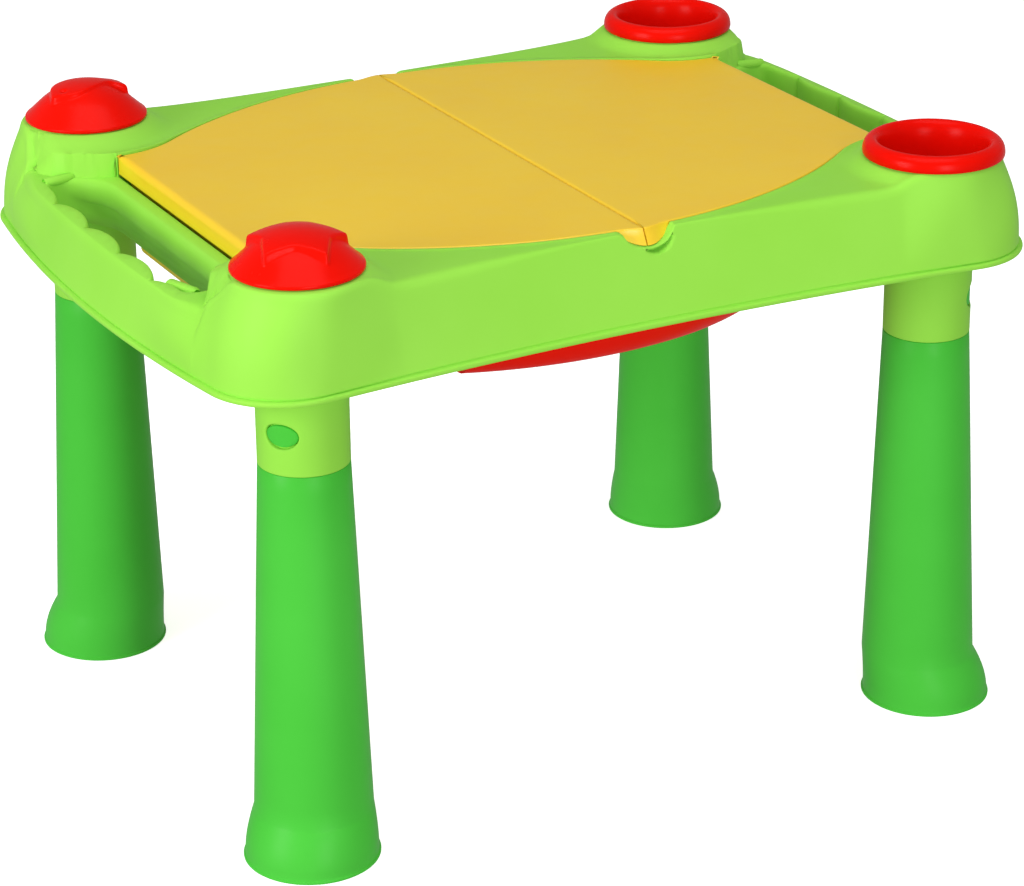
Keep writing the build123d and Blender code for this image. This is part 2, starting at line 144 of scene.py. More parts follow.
def bezier(a, b, c, count):
    """Points along a quadratic curve, without its first point."""
    points = []
    for step in range(1, count + 1):
        t = step / count
        s = 1 - t
        points.append(tuple(s * s * p + 2 * s * t * q + t * t * r for p, q, r in zip(a, b, c)))
    return points


def add_object(name, data):
    """Adds an object to the scene."""
    obj = bpy.data.objects.new(name, data)
    bpy.context.scene.collection.objects.link(obj)
    return obj


def segment(a, b, count):
    """Points along a straight line, without its first point."""
    return [tuple(mix(p, q, i / count) for p, q in zip(a, b)) for i in range(1, count + 1)]


class Skin:
    """Rows and patches of points that are welded into one mesh."""

    def __init__(self):
        self.points = []
        self.faces = []

    def rows(self, rows, flip=False):
        """Quads between rows of equal length. A loop seen counter-clockwise faces outwards."""
        start = len(self.points)
        count = len(rows[0])
        for row in rows:
            self.points += row
        for r in range(len(rows) - 1):
            for c in range(count):
                a = start + r * count + c
                b = start + r * count + (c + 1) % count
                quad = (a, a + count, b + count, b)
                self.faces.append(quad[::-1] if flip else quad)

    def fan(self, row, centre, flip=False):
        """Triangles from a row to one centre point."""
        start = len(self.points)
        self.points += list(row) + [centre]
        last = start + len(row)
        for c in range(len(row)):
            face = (start + c, last, start + (c + 1) % len(row))
            self.faces.append(face if flip else face[::-1])

    def patch(self, points, triangles, flip=False):
        """Loose triangles."""
        start = len(self.points)
        self.points += points
        for face in triangles:
            face = tuple(start + i for i in face)
            self.faces.append(face[::-1] if flip else face)

    def piece(self, name, body, slot, replaces, thick=0.0, angle=35.0):
        """Makes the object, welds it, gives it its material and rides it on its body."""
        mesh = bpy.data.meshes.new(name)
        mesh.from_pydata([tuple(v * MM for v in p) for p in self.points], [], self.faces)
        bm = bmesh.new()
        bm.from_mesh(mesh)
        bmesh.ops.remove_doubles(bm, verts=bm.verts, dist=WELD * MM)
        bmesh.ops.dissolve_degenerate(bm, edges=bm.edges, dist=WELD * MM / 2)
        bm.to_mesh(mesh)
        bm.free()
        mesh.shade_smooth()
        mesh.set_sharp_from_angle(angle=radians(angle))
        obj = add_object(name, mesh)
        mesh.materials.append(MATERIALS[slot])
        if thick:
            solid = obj.modifiers.new("wall", "SOLIDIFY")
            solid.thickness = thick * MM
            solid.offset = -1
            solid.use_even_offset = False
        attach(obj, body)
        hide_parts(*replaces)
        return obj


def inside(points, loop):
    """Even-odd test of many points against one loop."""
    points = np.asarray(points)
    loop = np.asarray(loop)
    result = np.zeros(len(points), bool)
    x, y = points[:, 0], points[:, 1]
    for (x0, y0), (x1, y1) in zip(loop, np.roll(loop, -1, axis=0)):
        if y0 == y1:
            continue
        crosses = (y0 > y) != (y1 > y)
        result ^= crosses & (x < (x1 - x0) * (y - y0) / (y1 - y0) + x0)
    return result


def far_from(points, chains, gap):
    """Points that keep a gap from every chain of segments."""
    points = np.asarray(points)
    keep = np.ones(len(points), bool)
    for chain in chains:
        chain = np.asarray(chain)
        for a, b in zip(chain[:-1], chain[1:]):
            near = np.all(np.abs(points - (a + b) / 2) < np.abs(b - a) / 2 + gap, axis=1)
            if not near.any():
                continue
            span = b - a
            length = float(span @ span) or 1.0
            t = np.clip(((points[near] - a) @ span) / length, 0, 1)
            distance = np.linalg.norm(points[near] - a - t[:, None] * span, axis=1)
            keep[np.flatnonzero(near)[distance < gap]] = False
    return points[keep]


def triangulate(outer, holes, lines, fill):
    """Constrained triangles of a flat region: outer loop, holes, crease lines and fill points."""
    points, edges = [], []
    loops = [outer, *holes]
    for number, chain in enumerate(loops + list(lines)):
        start = len(points)
        points += [tuple(p) for p in chain]
        edges += [(start + i, start + i + 1) for i in range(len(chain) - 1)]
        if number < len(loops):
            edges.append((start + len(chain) - 1, start))
    points += [tuple(p) for p in fill]
    result = delaunay_2d_cdt([Vector(p) for p in points], edges, [], 0, 1e-4)
    spots = np.array([tuple(v) for v in result[0]])
    faces = [tuple(f) for f in result[2]]
    middles = np.array([spots[list(f)].mean(axis=0) for f in faces])
    keep = inside(middles, outer)
    for hole in holes:
        keep &= ~inside(middles, hole)
    return spots, [f for f, k in zip(faces, keep) if k]


def hex_fill(low, high, pitch):
    """Staggered grid of points over a rectangle."""
    points = []
    rows = int((high[1] - low[1]) / (pitch * 0.866)) + 1
    for r in range(rows):
        y = low[1] + r * pitch * 0.866
        x = low[0] + (pitch / 2 if r % 2 else 0.0)
        while x < high[0]:
            points.append((x, y))
            x += pitch
    return np.array(points)


def even_fill(low, high, pitch, gap, outer, holes=(), lines=()):
    """Staggered points inside a region that keep a gap from its edges and creases."""
    points = hex_fill(low, high, pitch)
    keep = inside(points, outer)
    for hole in holes:
        keep &= ~inside(points, hole)
    chains = [loop + loop[:1] for loop in (outer, *holes)] + list(lines)
    return far_from(points[keep], chains, gap)


# ---- materials


def new_node(nodes, kind, inputs):
    """Adds a shader node and sets its inputs."""
    node = nodes.new(kind)
    for name, value in inputs.items():
        node.inputs[name].default_value = value
    return node


def plastic(name, dark, light, roughness, gleam, grain):
    """Satin moulded plastic: colour drift, patchy gloss, fine texture and faint sink marks."""
    material = bpy.data.materials.new(name)
    material.use_nodes = True
    nodes, links = material.node_tree.nodes, material.node_tree.links
    shader = nodes["Principled BSDF"]
    place = nodes.new("ShaderNodeTexCoord")

    def noise(scale, detail):
        node = new_node(nodes, "ShaderNodeTexNoise", {"Scale": scale, "Detail": detail})
        links.new(place.outputs["Object"], node.inputs["Vector"])
        return node.outputs["Fac"]

    ramp = nodes.new("ShaderNodeValToRGB")
    for stop, position, colour in zip(ramp.color_ramp.elements, (0.3, 0.7), (dark, light)):
        stop.position = position
        stop.color = (*colour, 1)
    links.new(noise(7.0, 3.0), ramp.inputs["Fac"])
    links.new(ramp.outputs["Color"], shader.inputs["Base Color"])

    gloss = new_node(nodes, "ShaderNodeMapRange", {
        "From Min": 0.3, "From Max": 0.7,
        "To Min": roughness - 0.04, "To Max": roughness + 0.05,
    })
    links.new(noise(45.0, 6.0), gloss.inputs["Value"])
    links.new(gloss.outputs["Result"], shader.inputs["Roughness"])

    sink = new_node(nodes, "ShaderNodeBump", {"Strength": 0.25, "Distance": 0.0006})
    links.new(noise(22.0, 1.0), sink.inputs["Height"])
    texture = new_node(nodes, "ShaderNodeBump", {"Strength": grain, "Distance": 0.00008})
    links.new(noise(1500.0, 2.0), texture.inputs["Height"])
    links.new(sink.outputs["Normal"], texture.inputs["Normal"])
    links.new(texture.outputs["Normal"], shader.inputs["Normal"])

    shader.inputs["Specular IOR Level"].default_value = gleam
    return material


def srgb(red, green, blue):
    """Linear colour from 0-255 display values."""
    return tuple(
        v / 12.92 if v <= 0.04045 else ((v + 0.055) / 1.055) ** 2.4
        for v in (red / 255, green / 255, blue / 255)
    )


MATERIALS = {
    name: plastic(name, srgb(*dark), srgb(*light), *surface)
    for name, dark, light, *surface in [
        ("light_green_plastic", (152, 226, 76), (158, 230, 83), 0.40, 0.05, 0.30),
        ("leg_green_plastic", (74, 196, 60), (80, 202, 66), 0.38, 0.10, 0.30),
        ("yellow_plastic", (254, 208, 32), (255, 214, 38), 0.36, 0.70, 0.28),
        ("tub_red_plastic", (250, 24, 6), (255, 29, 9), 0.34, 0.05, 0.28),
        ("red_plastic", (235, 12, 2), (242, 17, 4), 0.24, 0.06, 0.22),
    ]
}


# ---- plan outlines


def side_samples(reach):
    """X positions along a long side, close together near the finger notch."""
    fine = [3.0 * i for i in range(16)]
    count = 24
    return fine + [mix(45.0, reach, (i + 1) / count) for i in range(count)]


def opening_quarter(inset, end_inset=None):
    """A quarter of the lid opening from the +X axis to the +Y axis, shrunk by inset.

    The straight end may have an inset of its own. Its last four points rise up the step
    at the pocket's corner, so they lie close together.
    """
    end_inset = inset if end_inset is None else end_inset
    length = LID_LENGTH - end_inset
    scallop = SCALLOP_R + inset
    end_y = CORNER_Y - sqrt(scallop**2 - (length - CORNER_X) ** 2)
    low = end_y - 1.6
    points = [(length, low * i / 14) for i in range(15)]
    points += [(length, end_y - 1.1), (length, end_y - 0.5), (length, end_y)]
    last = atan2(end_y - CORNER_Y, length - CORNER_X)
    reach = hypot(CORNER_X, CORNER_Y - SIDE_CENTRE_Y)
    side = SIDE_R - inset
    touch_x = CORNER_X * side / reach
    touch_y = SIDE_CENTRE_Y + (CORNER_Y - SIDE_CENTRE_Y) * side / reach
    first = atan2(touch_y - CORNER_Y, touch_x - CORNER_X)
    if first > 0:
        first -= 2 * pi
    count = 26
    for i in range(1, count + 1):
        angle = mix(last, first, i / count)
        points.append((CORNER_X + scallop * cos(angle), CORNER_Y + scallop * sin(angle)))
    for x in side_samples(touch_x)[-2::-1]:
        points.append((x, SIDE_CENTRE_Y + sqrt(side**2 - x * x)))
    return points


POCKET_STEP = 15  # index on the quarter of the first of the points that climb the step


def opening_loop(inset, end_inset=None):
    """The whole lid opening."""
    return full_loop(opening_quarter(inset, end_inset))


def arc_radius(half_chord, rise):
    """Radius of the arc over a chord."""
    return (half_chord**2 + rise**2) / (2 * rise)


# The lip is four arcs, bulging at the ends and waisted along the sides, with rounded corners.
LIP_END_R = arc_radius(LIP_SIDE_CORNER, LIP_END - LIP_END_CORNER)
LIP_SIDE_R = arc_radius(LIP_END_CORNER, LIP_SIDE_CORNER - LIP_SIDE)
LIP_END_CENTRE = Vector((LIP_END - LIP_END_R, 0))
LIP_SIDE_CENTRE = Vector((0, LIP_SIDE + LIP_SIDE_R))


def lip_fillet_centre():
    """Centre of the round corner between an end arc and a side arc."""
    span = LIP_SIDE_CENTRE - LIP_END_CENTRE
    from_end, from_side = LIP_END_R - CORNER_FILLET, LIP_SIDE_R + CORNER_FILLET
    along = (span.length_squared + from_end**2 - from_side**2) / (2 * span.length)
    across = sqrt(from_end**2 - along**2)
    unit = span.normalized()
    return LIP_END_CENTRE + unit * along + Vector((unit.y, -unit.x)) * across


LIP_FILLET = lip_fillet_centre()
FILLET_FROM = (LIP_FILLET - LIP_END_CENTRE).normalized()
FILLET_TO = (LIP_SIDE_CENTRE - LIP_FILLET).normalized()


def lip_excess(x, y):
    """How far a plan point lies outside the lip; negative inside."""
    spot = Vector((abs(x), abs(y)))
    out = spot - LIP_FILLET
    if FILLET_FROM.cross(out) > 0 and out.cross(FILLET_TO) > 0:
        return out.length - CORNER_FILLET
    end = (spot - LIP_END_CENTRE).length - LIP_END_R
    side = LIP_SIDE_R - (spot - LIP_SIDE_CENTRE).length
    return max(end, side)


def lip_point(x, y, nx, ny):
    """Where the ray from a crease point meets the lip."""
    low, high = 0.0, 90.0
    for _ in range(40):
        middle = (low + high) / 2
        if lip_excess(x + nx * middle, y + ny * middle) < 0:
            low = middle
        else:
            high = middle
    return (x + nx * low, y + ny * low)


def crease_quarter():
    """The top edge of the skirt from the +X axis to the +Y axis, round the turret."""
    end_x, end_y = CREASE_BEND_X, CREASE_BEND_Y
    points = [(CREASE_END - (CREASE_END - end_x) * (y / end_y) ** 2, y) for y in
              [end_y * i / 22 for i in range(22)]]
    # flank of the turret on the end side, with close columns where the pocket's wall stands
    start, stop = (end_x, end_y), (CORNER_X + TURRET_R, CORNER_Y)
    for i in range(45):
        t = i / 45
        h = t * t * (3 - 2 * t)
        lean = (1 - t) ** 2 * t * -8.0
        points.append((mix(start[0], stop[0], h) + lean * 0.35, mix(start[1], stop[1], t)))
    for i in range(27):
        angle = pi / 2 * i / 26
        points.append((CORNER_X + TURRET_R * cos(angle), CORNER_Y + TURRET_R * sin(angle)))
    # flank on the long side down to the waist
    flank_x = 232.0
    flank_y = CREASE_SIDE + WAIST_CURVE * flank_x**2
    slope = 2 * WAIST_CURVE * flank_x
    top_y = CORNER_Y + TURRET_R
    width = CORNER_X - flank_x
    for i in range(1, 15):
        t = 1 - i / 15
        y = (
            (2 * t**3 - 3 * t**2 + 1) * flank_y
            + (t**3 - 2 * t**2 + t) * slope * width
            + (3 * t**2 - 2 * t**3) * top_y
        )
        points.append((flank_x + width * t, y))
    for x in side_samples(flank_x)[::-1]:
        points.append((x, CREASE_SIDE + WAIST_CURVE * x * x))
    return points


def notch_height(x, y, height):
    """Ledge height with the finger notch cut into it at the middle of each long side."""
    side = -1 if y < 0 else 1
    t = (x + side * TAB_CENTRE) / NOTCH_HALF
    if abs(y) < 225 or abs(t) >= 1:
        return height
    return min(height, LEDGE_Z - NOTCH_DROP * sqrt(1 - t * t))


def ledge_height(x, y):
    """Top of the tray outside the pockets: a flat ledge that rises to the turrets."""
    rise = 1 - smoothstep(FLANK_IN, FLANK_OUT, turret_distance(x, y))
    plateau = PLATEAU_Z - 2.0 * (1 - smoothstep(200, 290, abs(x)))
    height = plateau + (TURRET_TOP_Z - plateau) * rise
    # the end of the ledge beside a pocket comes down to the pocket's floor at the skirt
    slump = smoothstep(346, 361, abs(x)) * (1 - smoothstep(202, 228, abs(y)))
    return notch_height(x, y, mix(height, POCKET_Z + 1.0, slump))


def pocket_height(x, y):
    """Low floor at each end, which rounds over towards the skirt beyond the slot."""
    edge = CREASE_END - (CREASE_END - CREASE_BEND_X) * (y / CREASE_BEND_Y) ** 2
    near = min(max(1 - (edge - abs(x)) / 11.0, 0.0), 1.2)
    return POCKET_Z - 1.8 * near**2


# The pocket's wall: radius round the turret, and height from the ledge or from the pocket's floor
WALL_ROWS = [(72.6, None, 0.0), (73.9, None, -1.3), (76.7, POCKET_Z, 1.2), (77.9, POCKET_Z, 0.0)]
WALL_TIGHTENS = 5.0


def wall_row_height(row, x, y):
    """Height of one row of the pocket's wall."""
    high, low = ledge_height(x, y), pocket_height(x, y)
    _, base, lift = WALL_ROWS[row]
    lift *= min(1.0, max(high - low, 0.0) / 6.0)
    return (max(high, low) if base is None else low) + lift


def wall_radius(radius, begin, angle):
    """Radius of the pocket's wall, from the lid's corner round towards the skirt."""
    near = 1 - smoothstep(radians(-86), radians(-64), angle)
    far = smoothstep(radians(-54), radians(-22), angle)
    return mix(radius, begin, near) - WALL_TIGHTENS * far


def in_pocket(x, y):
    """True on the low floor at each end."""
    if abs(x) < 302.2 or abs(y) > CORNER_Y:
        return False
    angle = atan2(abs(y) - CORNER_Y, abs(x) - CORNER_X)
    return turret_distance(x, y) > wall_radius(75.3, 79.6, angle)


def skirt_columns():
    """Columns round the tray: crease point, normal, lip point, top height and edge rounding."""
    quarter = crease_quarter()
    distances = [hypot(x - CORNER_X, y - CORNER_Y) for x, y in quarter]
    marks = {}
    for row, (radius, _, _) in enumerate(WALL_ROWS):
        near = [i for i in range(len(quarter)) if quarter[i][1] < CORNER_Y]
        best = min(near, key=lambda i: abs(distances[i] - radius + WALL_TIGHTENS - 0.9))
        while best in marks.values():
            best -= 1
        marks[row] = best
    last = len(quarter) - 1
    loop = full_loop(quarter)
    total = len(loop)
    index_of = full_index(last)
    columns = []
    for i, (x, y) in enumerate(loop):
        (x0, y0), (x1, y1) = loop[i - 1], loop[(i + 1) % total]
        length = hypot(x1 - x0, y1 - y0)
        nx, ny = (y1 - y0) / length, -(x1 - x0) / length
        q = index_of[i]
        if q <= marks[0]:
            across, down = mix(-3.0, 4.5, smoothstep(135, 195, abs(y))), 9.0
        elif abs(y) < CORNER_Y or abs(x) > CORNER_X:
            across, down = 4.5, 8.0
        else:
            across = mix(1.6, 7.5, smoothstep(30, 200, abs(x)))
            across = mix(across, 4.5, smoothstep(235, CORNER_X, abs(x)))
            down = mix(across, 8.0, smoothstep(235, CORNER_X, abs(x)))
        ix, iy = x - nx * across, y - ny * across
        if q <= marks[3]:
            top = pocket_height(ix, iy)
        elif q >= marks[0]:
            top = ledge_height(ix, iy)
        else:
            row = [r for r in marks if q >= marks[r]][0]
            top = wall_row_height(row, ix, iy)
        columns.append((x, y, nx, ny, lip_point(x, y, nx, ny), top, across, down))
    return columns, marks, last


def full_index(last):
    """Index on the quarter for each point of a full loop made from it."""
    return (list(range(last)) + list(range(last, 0, -1))) * 2


def quadrant_column(quarter_index, last, sx, sy):
    """Index on the full loop of the point that mirrors a quarter's point into one corner."""
    quarters = {(1, 1): 0, (-1, 1): 2, (-1, -1): 2, (1, -1): 4}[sx, sy]
    return (quarters * last + sx * sy * quarter_index) % (4 * last)


BEAD_PROFILE = [(-4.5, 426.9), (-4.3, 426.0), (-1.5, 425.7), (-0.4, 425.0), (0.0, 423.8),
                (-0.1, 422.6), (-0.7, 421.5), (-1.8, 421.0), (-3.6, 421.0)]
DIMPLE_CENTRE, DIMPLE_R, DIMPLE_DEPTH = (8.5, 491.0), 15.5, 7.0


def dimple(x, z, side):
    """Depth of the shallow scoop in the skirt under a finger notch."""
    distance = hypot(x + side * DIMPLE_CENTRE[0], z - DIMPLE_CENTRE[1])
    deepens = smoothstep(DIMPLE_CENTRE[1] + 0.6 * DIMPLE_R, DIMPLE_CENTRE[1] - 0.7 * DIMPLE_R, z)
    return DIMPLE_DEPTH * deepens * (1 - smoothstep(0.84 * DIMPLE_R, DIMPLE_R, distance))


def skirt_rows(columns):
    """Rows from the tray's top over the rounded edge, down the skirt and round the bead."""
    straight = 40
    rows = [[] for _ in range(7 + straight + len(BEAD_PROFILE))]
    for x, y, nx, ny, (lx, ly), top, across, down in columns:
        fall = LEDGE_Z - LIP_Z
        reach = hypot(lx - x, ly - y) - BEAD_PROUD

        def at(z):
            along = reach * (LEDGE_Z - z) / fall
            return (x + nx * along, y + ny * along, z)

        edge = at(top)
        inner = (x - nx * across, y - ny * across, top)
        outer = at(top - down)
        column = [inner] + bezier(inner, edge, outer, 6)
        side = -1 if y < 0 else 1
        belly = 4.5 * smoothstep(90, 190, abs(y)) * smoothstep(0.2, 0.75, abs(nx))
        for step in range(1, straight + 1):
            z = mix(top - down, SKIRT_FOOT_Z, step / straight)
            px, py, _ = at(z)
            depth = dimple(x, z, side) if abs(x) < 90 and abs(y) > 200 else 0.0
            depth -= belly * sin(pi * (top - down - z) / (top - down - SKIRT_FOOT_Z))
            column.append((px - nx * depth, py - ny * depth, z))
        for out, z in BEAD_PROFILE:
            column.append((lx + nx * out, ly + ny * out, z))
        for row, point in zip(rows, column):
            row.append(point)
    return rows


# ---- handle slots

LOBE_PITCH, LOBE_HEIGHT, LOBE_CUSP_X = 71.0, 9.8, 374.0
SLOT_INNER_X, SLOT_CORNER_Y, SLOT_END = 311.0, 114.0, (349.0, 157.5)
SLOT_INNER_PROFILE = [(0.0, 478.0), (1.9, 477.5), (3.7, 475.8), (5.2, 472.6), (5.9, 469.0),
                      (5.9, 465.0), (5.3, 461.0), (4.2, 457.6), (2.6, 456.0), (-0.6, 455.0),
                      (-2.6, 452.0), (-3.2, 444.0), (-3.6, 434.0)]
SLOT_OUTER_PROFILE = [(0.0, 478.0), (0.9, 477.7), (1.8, 476.9), (2.5, 475.4), (2.8, 473.0),
                      (2.8, 470.5), (2.8, 468.0), (2.7, 465.5), (2.7, 463.0), (2.6, 460.0),
                      (2.5, 456.5), (2.4, 452.5), (2.2, 448.0)]


def slot_loop():
    """The right-hand slot's edge on the pocket floor, counter-clockwise."""
    upper = []
    for i in range(1, 13):
        t = i / 12
        upper.append(lobe_point(LOBE_PITCH / 2 * t))
    for k in (1, 2):
        start = LOBE_PITCH * (k - 0.5)
        span = LOBE_PITCH if k == 1 else LOBE_PITCH / 2
        count = 24 if k == 1 else 12
        upper += [lobe_point(start + span * i / count) for i in range(1, count + 1)]
    tip = upper[-1]
    upper += bezier(tip, (tip[0] - 0.5, SLOT_END[1] + 0.5), SLOT_END, 8)
    inner = (SLOT_INNER_X, SLOT_CORNER_Y)
    upper += bezier(SLOT_END, (SLOT_INNER_X + 1.0, SLOT_END[1] - 2.0), inner, 18)
    upper += [(SLOT_INNER_X, SLOT_CORNER_Y * (1 - i / 19)) for i in range(1, 19)]
    lower = [(x, -y) for x, y in upper[::-1]]
    return [lobe_point(0.0)] + upper + [(SLOT_INNER_X, 0.0)] + lower


def lobe_point(y):
    """A point on the scalloped outer edge of a slot."""
    return (LOBE_CUSP_X - LOBE_HEIGHT * abs(cos(pi * y / LOBE_PITCH)) ** 0.7, y)


def slot_rows(sx):
    """Rows from the pocket floor down into a slot, with a deep wall inside and lobes outside."""
    loop = slot_loop()
    total = len(loop)
    rows = [[] for _ in SLOT_INNER_PROFILE]
    for i, (x, y) in enumerate(loop):
        (x0, y0), (x1, y1) = loop[i - 1], loop[(i + 1) % total]
        length = hypot(x1 - x0, y1 - y0)
        nx, ny = -(y1 - y0) / length, (x1 - x0) / length
        blend = 1 - smoothstep(320.0, 345.0, x)
        drop = POCKET_Z - pocket_height(x, y)
        for row, (a, za), (b, zb) in zip(rows, SLOT_INNER_PROFILE, SLOT_OUTER_PROFILE):
            out = mix(b, a, blend)
            row.append((sx * (x + nx * out), y + ny * out, mix(zb, za, blend) - drop))
    if sx < 0:
        rows = [row[::-1] for row in rows]
    return rows


# ---- tray


def key(x, y):
    """Plan point rounded, for looking up its height."""
    return tuple(np.round((x, y), 4))


def tray_interior(columns, marks, last, edge_row):
    """Ledges, turret tops and pocket floors as one creased sheet."""
    outer = [(p[0], p[1]) for p in edge_row]
    heights = {key(p[0], p[1]): p[2] for p in edge_row}
    foot = opening_loop(-4.2, -1.9)
    opening_last = len(opening_quarter(-4.2, -1.9)) - 1
    for i, (x, y) in zip(full_index(opening_last), foot):
        heights[key(x, y)] = opening_height(i, x, y, -4.2)
    slots = []
    for sx in (-1, 1):
        loop = [(p[0], p[1]) for p in slot_rows(sx)[0]]
        slots.append(loop)
        heights.update({key(*p): pocket_height(*p) for p in loop})
    wells = []
    for sx, sy in CORNERS.values():
        ring = ring_points(sx * CORNER_X, sy * CORNER_Y, WELL_HOLE_R, 96)
        wells.append(ring)
        heights.update({key(*p): ledge_height(*p) for p in ring})
    lines = []
    for sx, sy in CORNERS.values():
        for row, (radius, _, _) in enumerate(WALL_ROWS):
            first = foot[quadrant_column(POCKET_STEP + 2 - row, opening_last, sx, sy)]
            column = quadrant_column(marks[row], last, sx, sy)
            path = wall_path(radius, first, outer[column])
            path = [(sx * abs(x), sy * abs(y)) for x, y in path]
            for x, y in path:
                heights[key(x, y)] = wall_row_height(row, x, y)
            lines.append([first] + path + [outer[column]])
    holes = [foot] + slots + wells
    fill = even_fill((-380, -290), (380, 290), 6.5, 2.4, outer, holes, lines)
    spots, faces = triangulate(outer, holes, lines, fill)
    points = []
    for x, y in spots:
        z = heights.get(key(x, y))
        if z is None:
            z = pocket_height(x, y) if in_pocket(x, y) else ledge_height(x, y)
        points.append((x, y, z))
    return points, faces


def wall_path(radius, first, end):
    """Plan path of one row of the pocket's wall in the first quadrant, between its two ends."""
    start_x, start_y = abs(first[0]) - CORNER_X, abs(first[1]) - CORNER_Y
    start, begin = atan2(start_y, start_x), hypot(start_x, start_y)
    stop = atan2(abs(end[1]) - CORNER_Y, abs(end[0]) - CORNER_X)
    count = 32
    path = []
    for i in range(1, count):
        angle = mix(start, stop, i / count)
        reach = wall_radius(radius, begin, angle)
        path.append((CORNER_X + reach * cos(angle), CORNER_Y + reach * sin(angle)))
    return path


def opening_height(index, x, y, inset):
    """Height of the tray's edge round the lid opening, with its thin raised border."""
    if index < POCKET_STEP:
        return POCKET_Z
    row = POCKET_STEP + 2 - index
    if row > 0:
        return wall_row_height(row, x, y)
    border = 0.4 if -4.0 < inset < -1.2 else 0.0
    return ledge_height(x, y) + border


def shelf_height(x):
    """Height of the lid's shelf, which steps down under the lid's ends."""
    return SHELF_Z - 7.0 * smoothstep(286, 296, abs(x))


def opening_rows():
    """Border round the lid opening, the wall to the shelf, the shelf and the basin wall."""
    last = len(opening_quarter(0)) - 1
    rows = []
    for inset, end_inset in [(-4.2, -1.9), (-3.5, -1.7), (-2.9, -1.5), (-1.9, -1.2), (-1.3, -1.05),
                             (-1.0, -1.0)]:
        loop = opening_loop(inset, end_inset)
        row = []
        for i, (x, y) in zip(full_index(last), loop):
            drop = {-1.3: 0.3, -1.0: 0.9}.get(inset, 0.0) if i > POCKET_STEP + 2 else 0.0
            row.append((x, y, opening_height(i, x, y, inset) - drop))
        rows.append(row)
    edge = rows[-1]
    for share in (0.35, 0.7, 1.0):
        rows.append([(x, y, mix(z, shelf_height(x), share)) for x, y, z in edge])
    for inset, drop in [(1.0, 0.0), (5.0, 0.0), (5.8, 0.3), (SHELF_DEPTH, 1.2)]:
        rows.append([(x, y, shelf_height(x) - drop) for x, y in opening_loop(inset)])
    for z in (462.0, 447.0, BASIN_FOOT_Z):
        rows.append([(x, y, z) for x, y in opening_loop(SHELF_DEPTH)])
    return rows


def ring_points(cx, cy, radius, count):
    """Points on a circle, counter-clockwise."""
    return [
        (cx + radius * cos(2 * pi * i / count), cy + radius * sin(2 * pi * i / count))
        for i in range(count)
    ]


def rod_rows(start, stop, radius):
    """Round rod with softened ends between two points."""
    start, stop = Vector(start), Vector(stop)
    along = (stop - start).normalized()
    across = along.cross(Vector((0, 0, 1))).normalized()
    over = across.cross(along)
    length = (stop - start).length
    rows = []
    for place, share in [(0, 0.45), (0.3, 0.8), (1, 1), (length - 1, 1), (length - 0.3, 0.8),
                         (length, 0.45)]:
        middle = start + along * place
        rows.append([tuple(middle + (across * cos(a) + over * sin(a)) * radius * share)
                     for a in (2 * pi * i / 12 for i in range(12))])
    return rows, tuple(start), tuple(stop)


def make_tray():
    """The whole light green moulding apart from the wells and sockets."""
    columns, marks, last = skirt_columns()
    band = skirt_rows(columns)
    skin = Skin()
    skin.rows(band)
    skin.patch(*tray_interior(columns, marks, last, band[0]))
    skin.rows(opening_rows(), flip=True)
    for sx in (-1, 1):
        skin.rows(slot_rows(sx), flip=True)
    for sx, sy in CORNERS.values():
        rows = []
        for out, drop in [(0.0, 0.0), (-0.15, 2.0), (-0.15, 9.0)]:
            ring = ring_points(sx * CORNER_X, sy * CORNER_Y, WELL_HOLE_R + out, 96)
            rows.append([(x, y, ledge_height(x, y) - drop) for x, y in ring])
        skin.rows(rows, flip=True)
        if sy > 0:
            ends, radius = ((361.0, 156.5, 477.3), (337.0, 158.6, 477.9)), 1.3
        else:
            ends, radius = ((361.5, -121.0, 474.0), (352.5, -149.5, 474.0)), 2.2
        rows, start, stop = rod_rows(*[(sx * x, y, z) for x, y, z in ends], radius)
        skin.rows(rows, flip=True)
        skin.fan(rows[0], start)
        skin.fan(rows[-1], stop, flip=True)
    skin.piece("tray_shell", "table", "light_green_plastic", ["tray"], thick=SHELL)


make_tray()


# ---- wells, sockets, legs, latches


def lathe_rows(profile, cx, cy, count=96):
    """Rows of a turned shape from (radius, height) points."""
    return [[(x, y, z) for x, y in ring_points(cx, cy, r, count)] for r, z in profile]


def latch_facing(sx, sy):
    """Plan direction in which a corner's latch button faces."""
    return atan2(sy * sin(radians(BUTTON_ANGLE)), sx * cos(radians(BUTTON_ANGLE)))


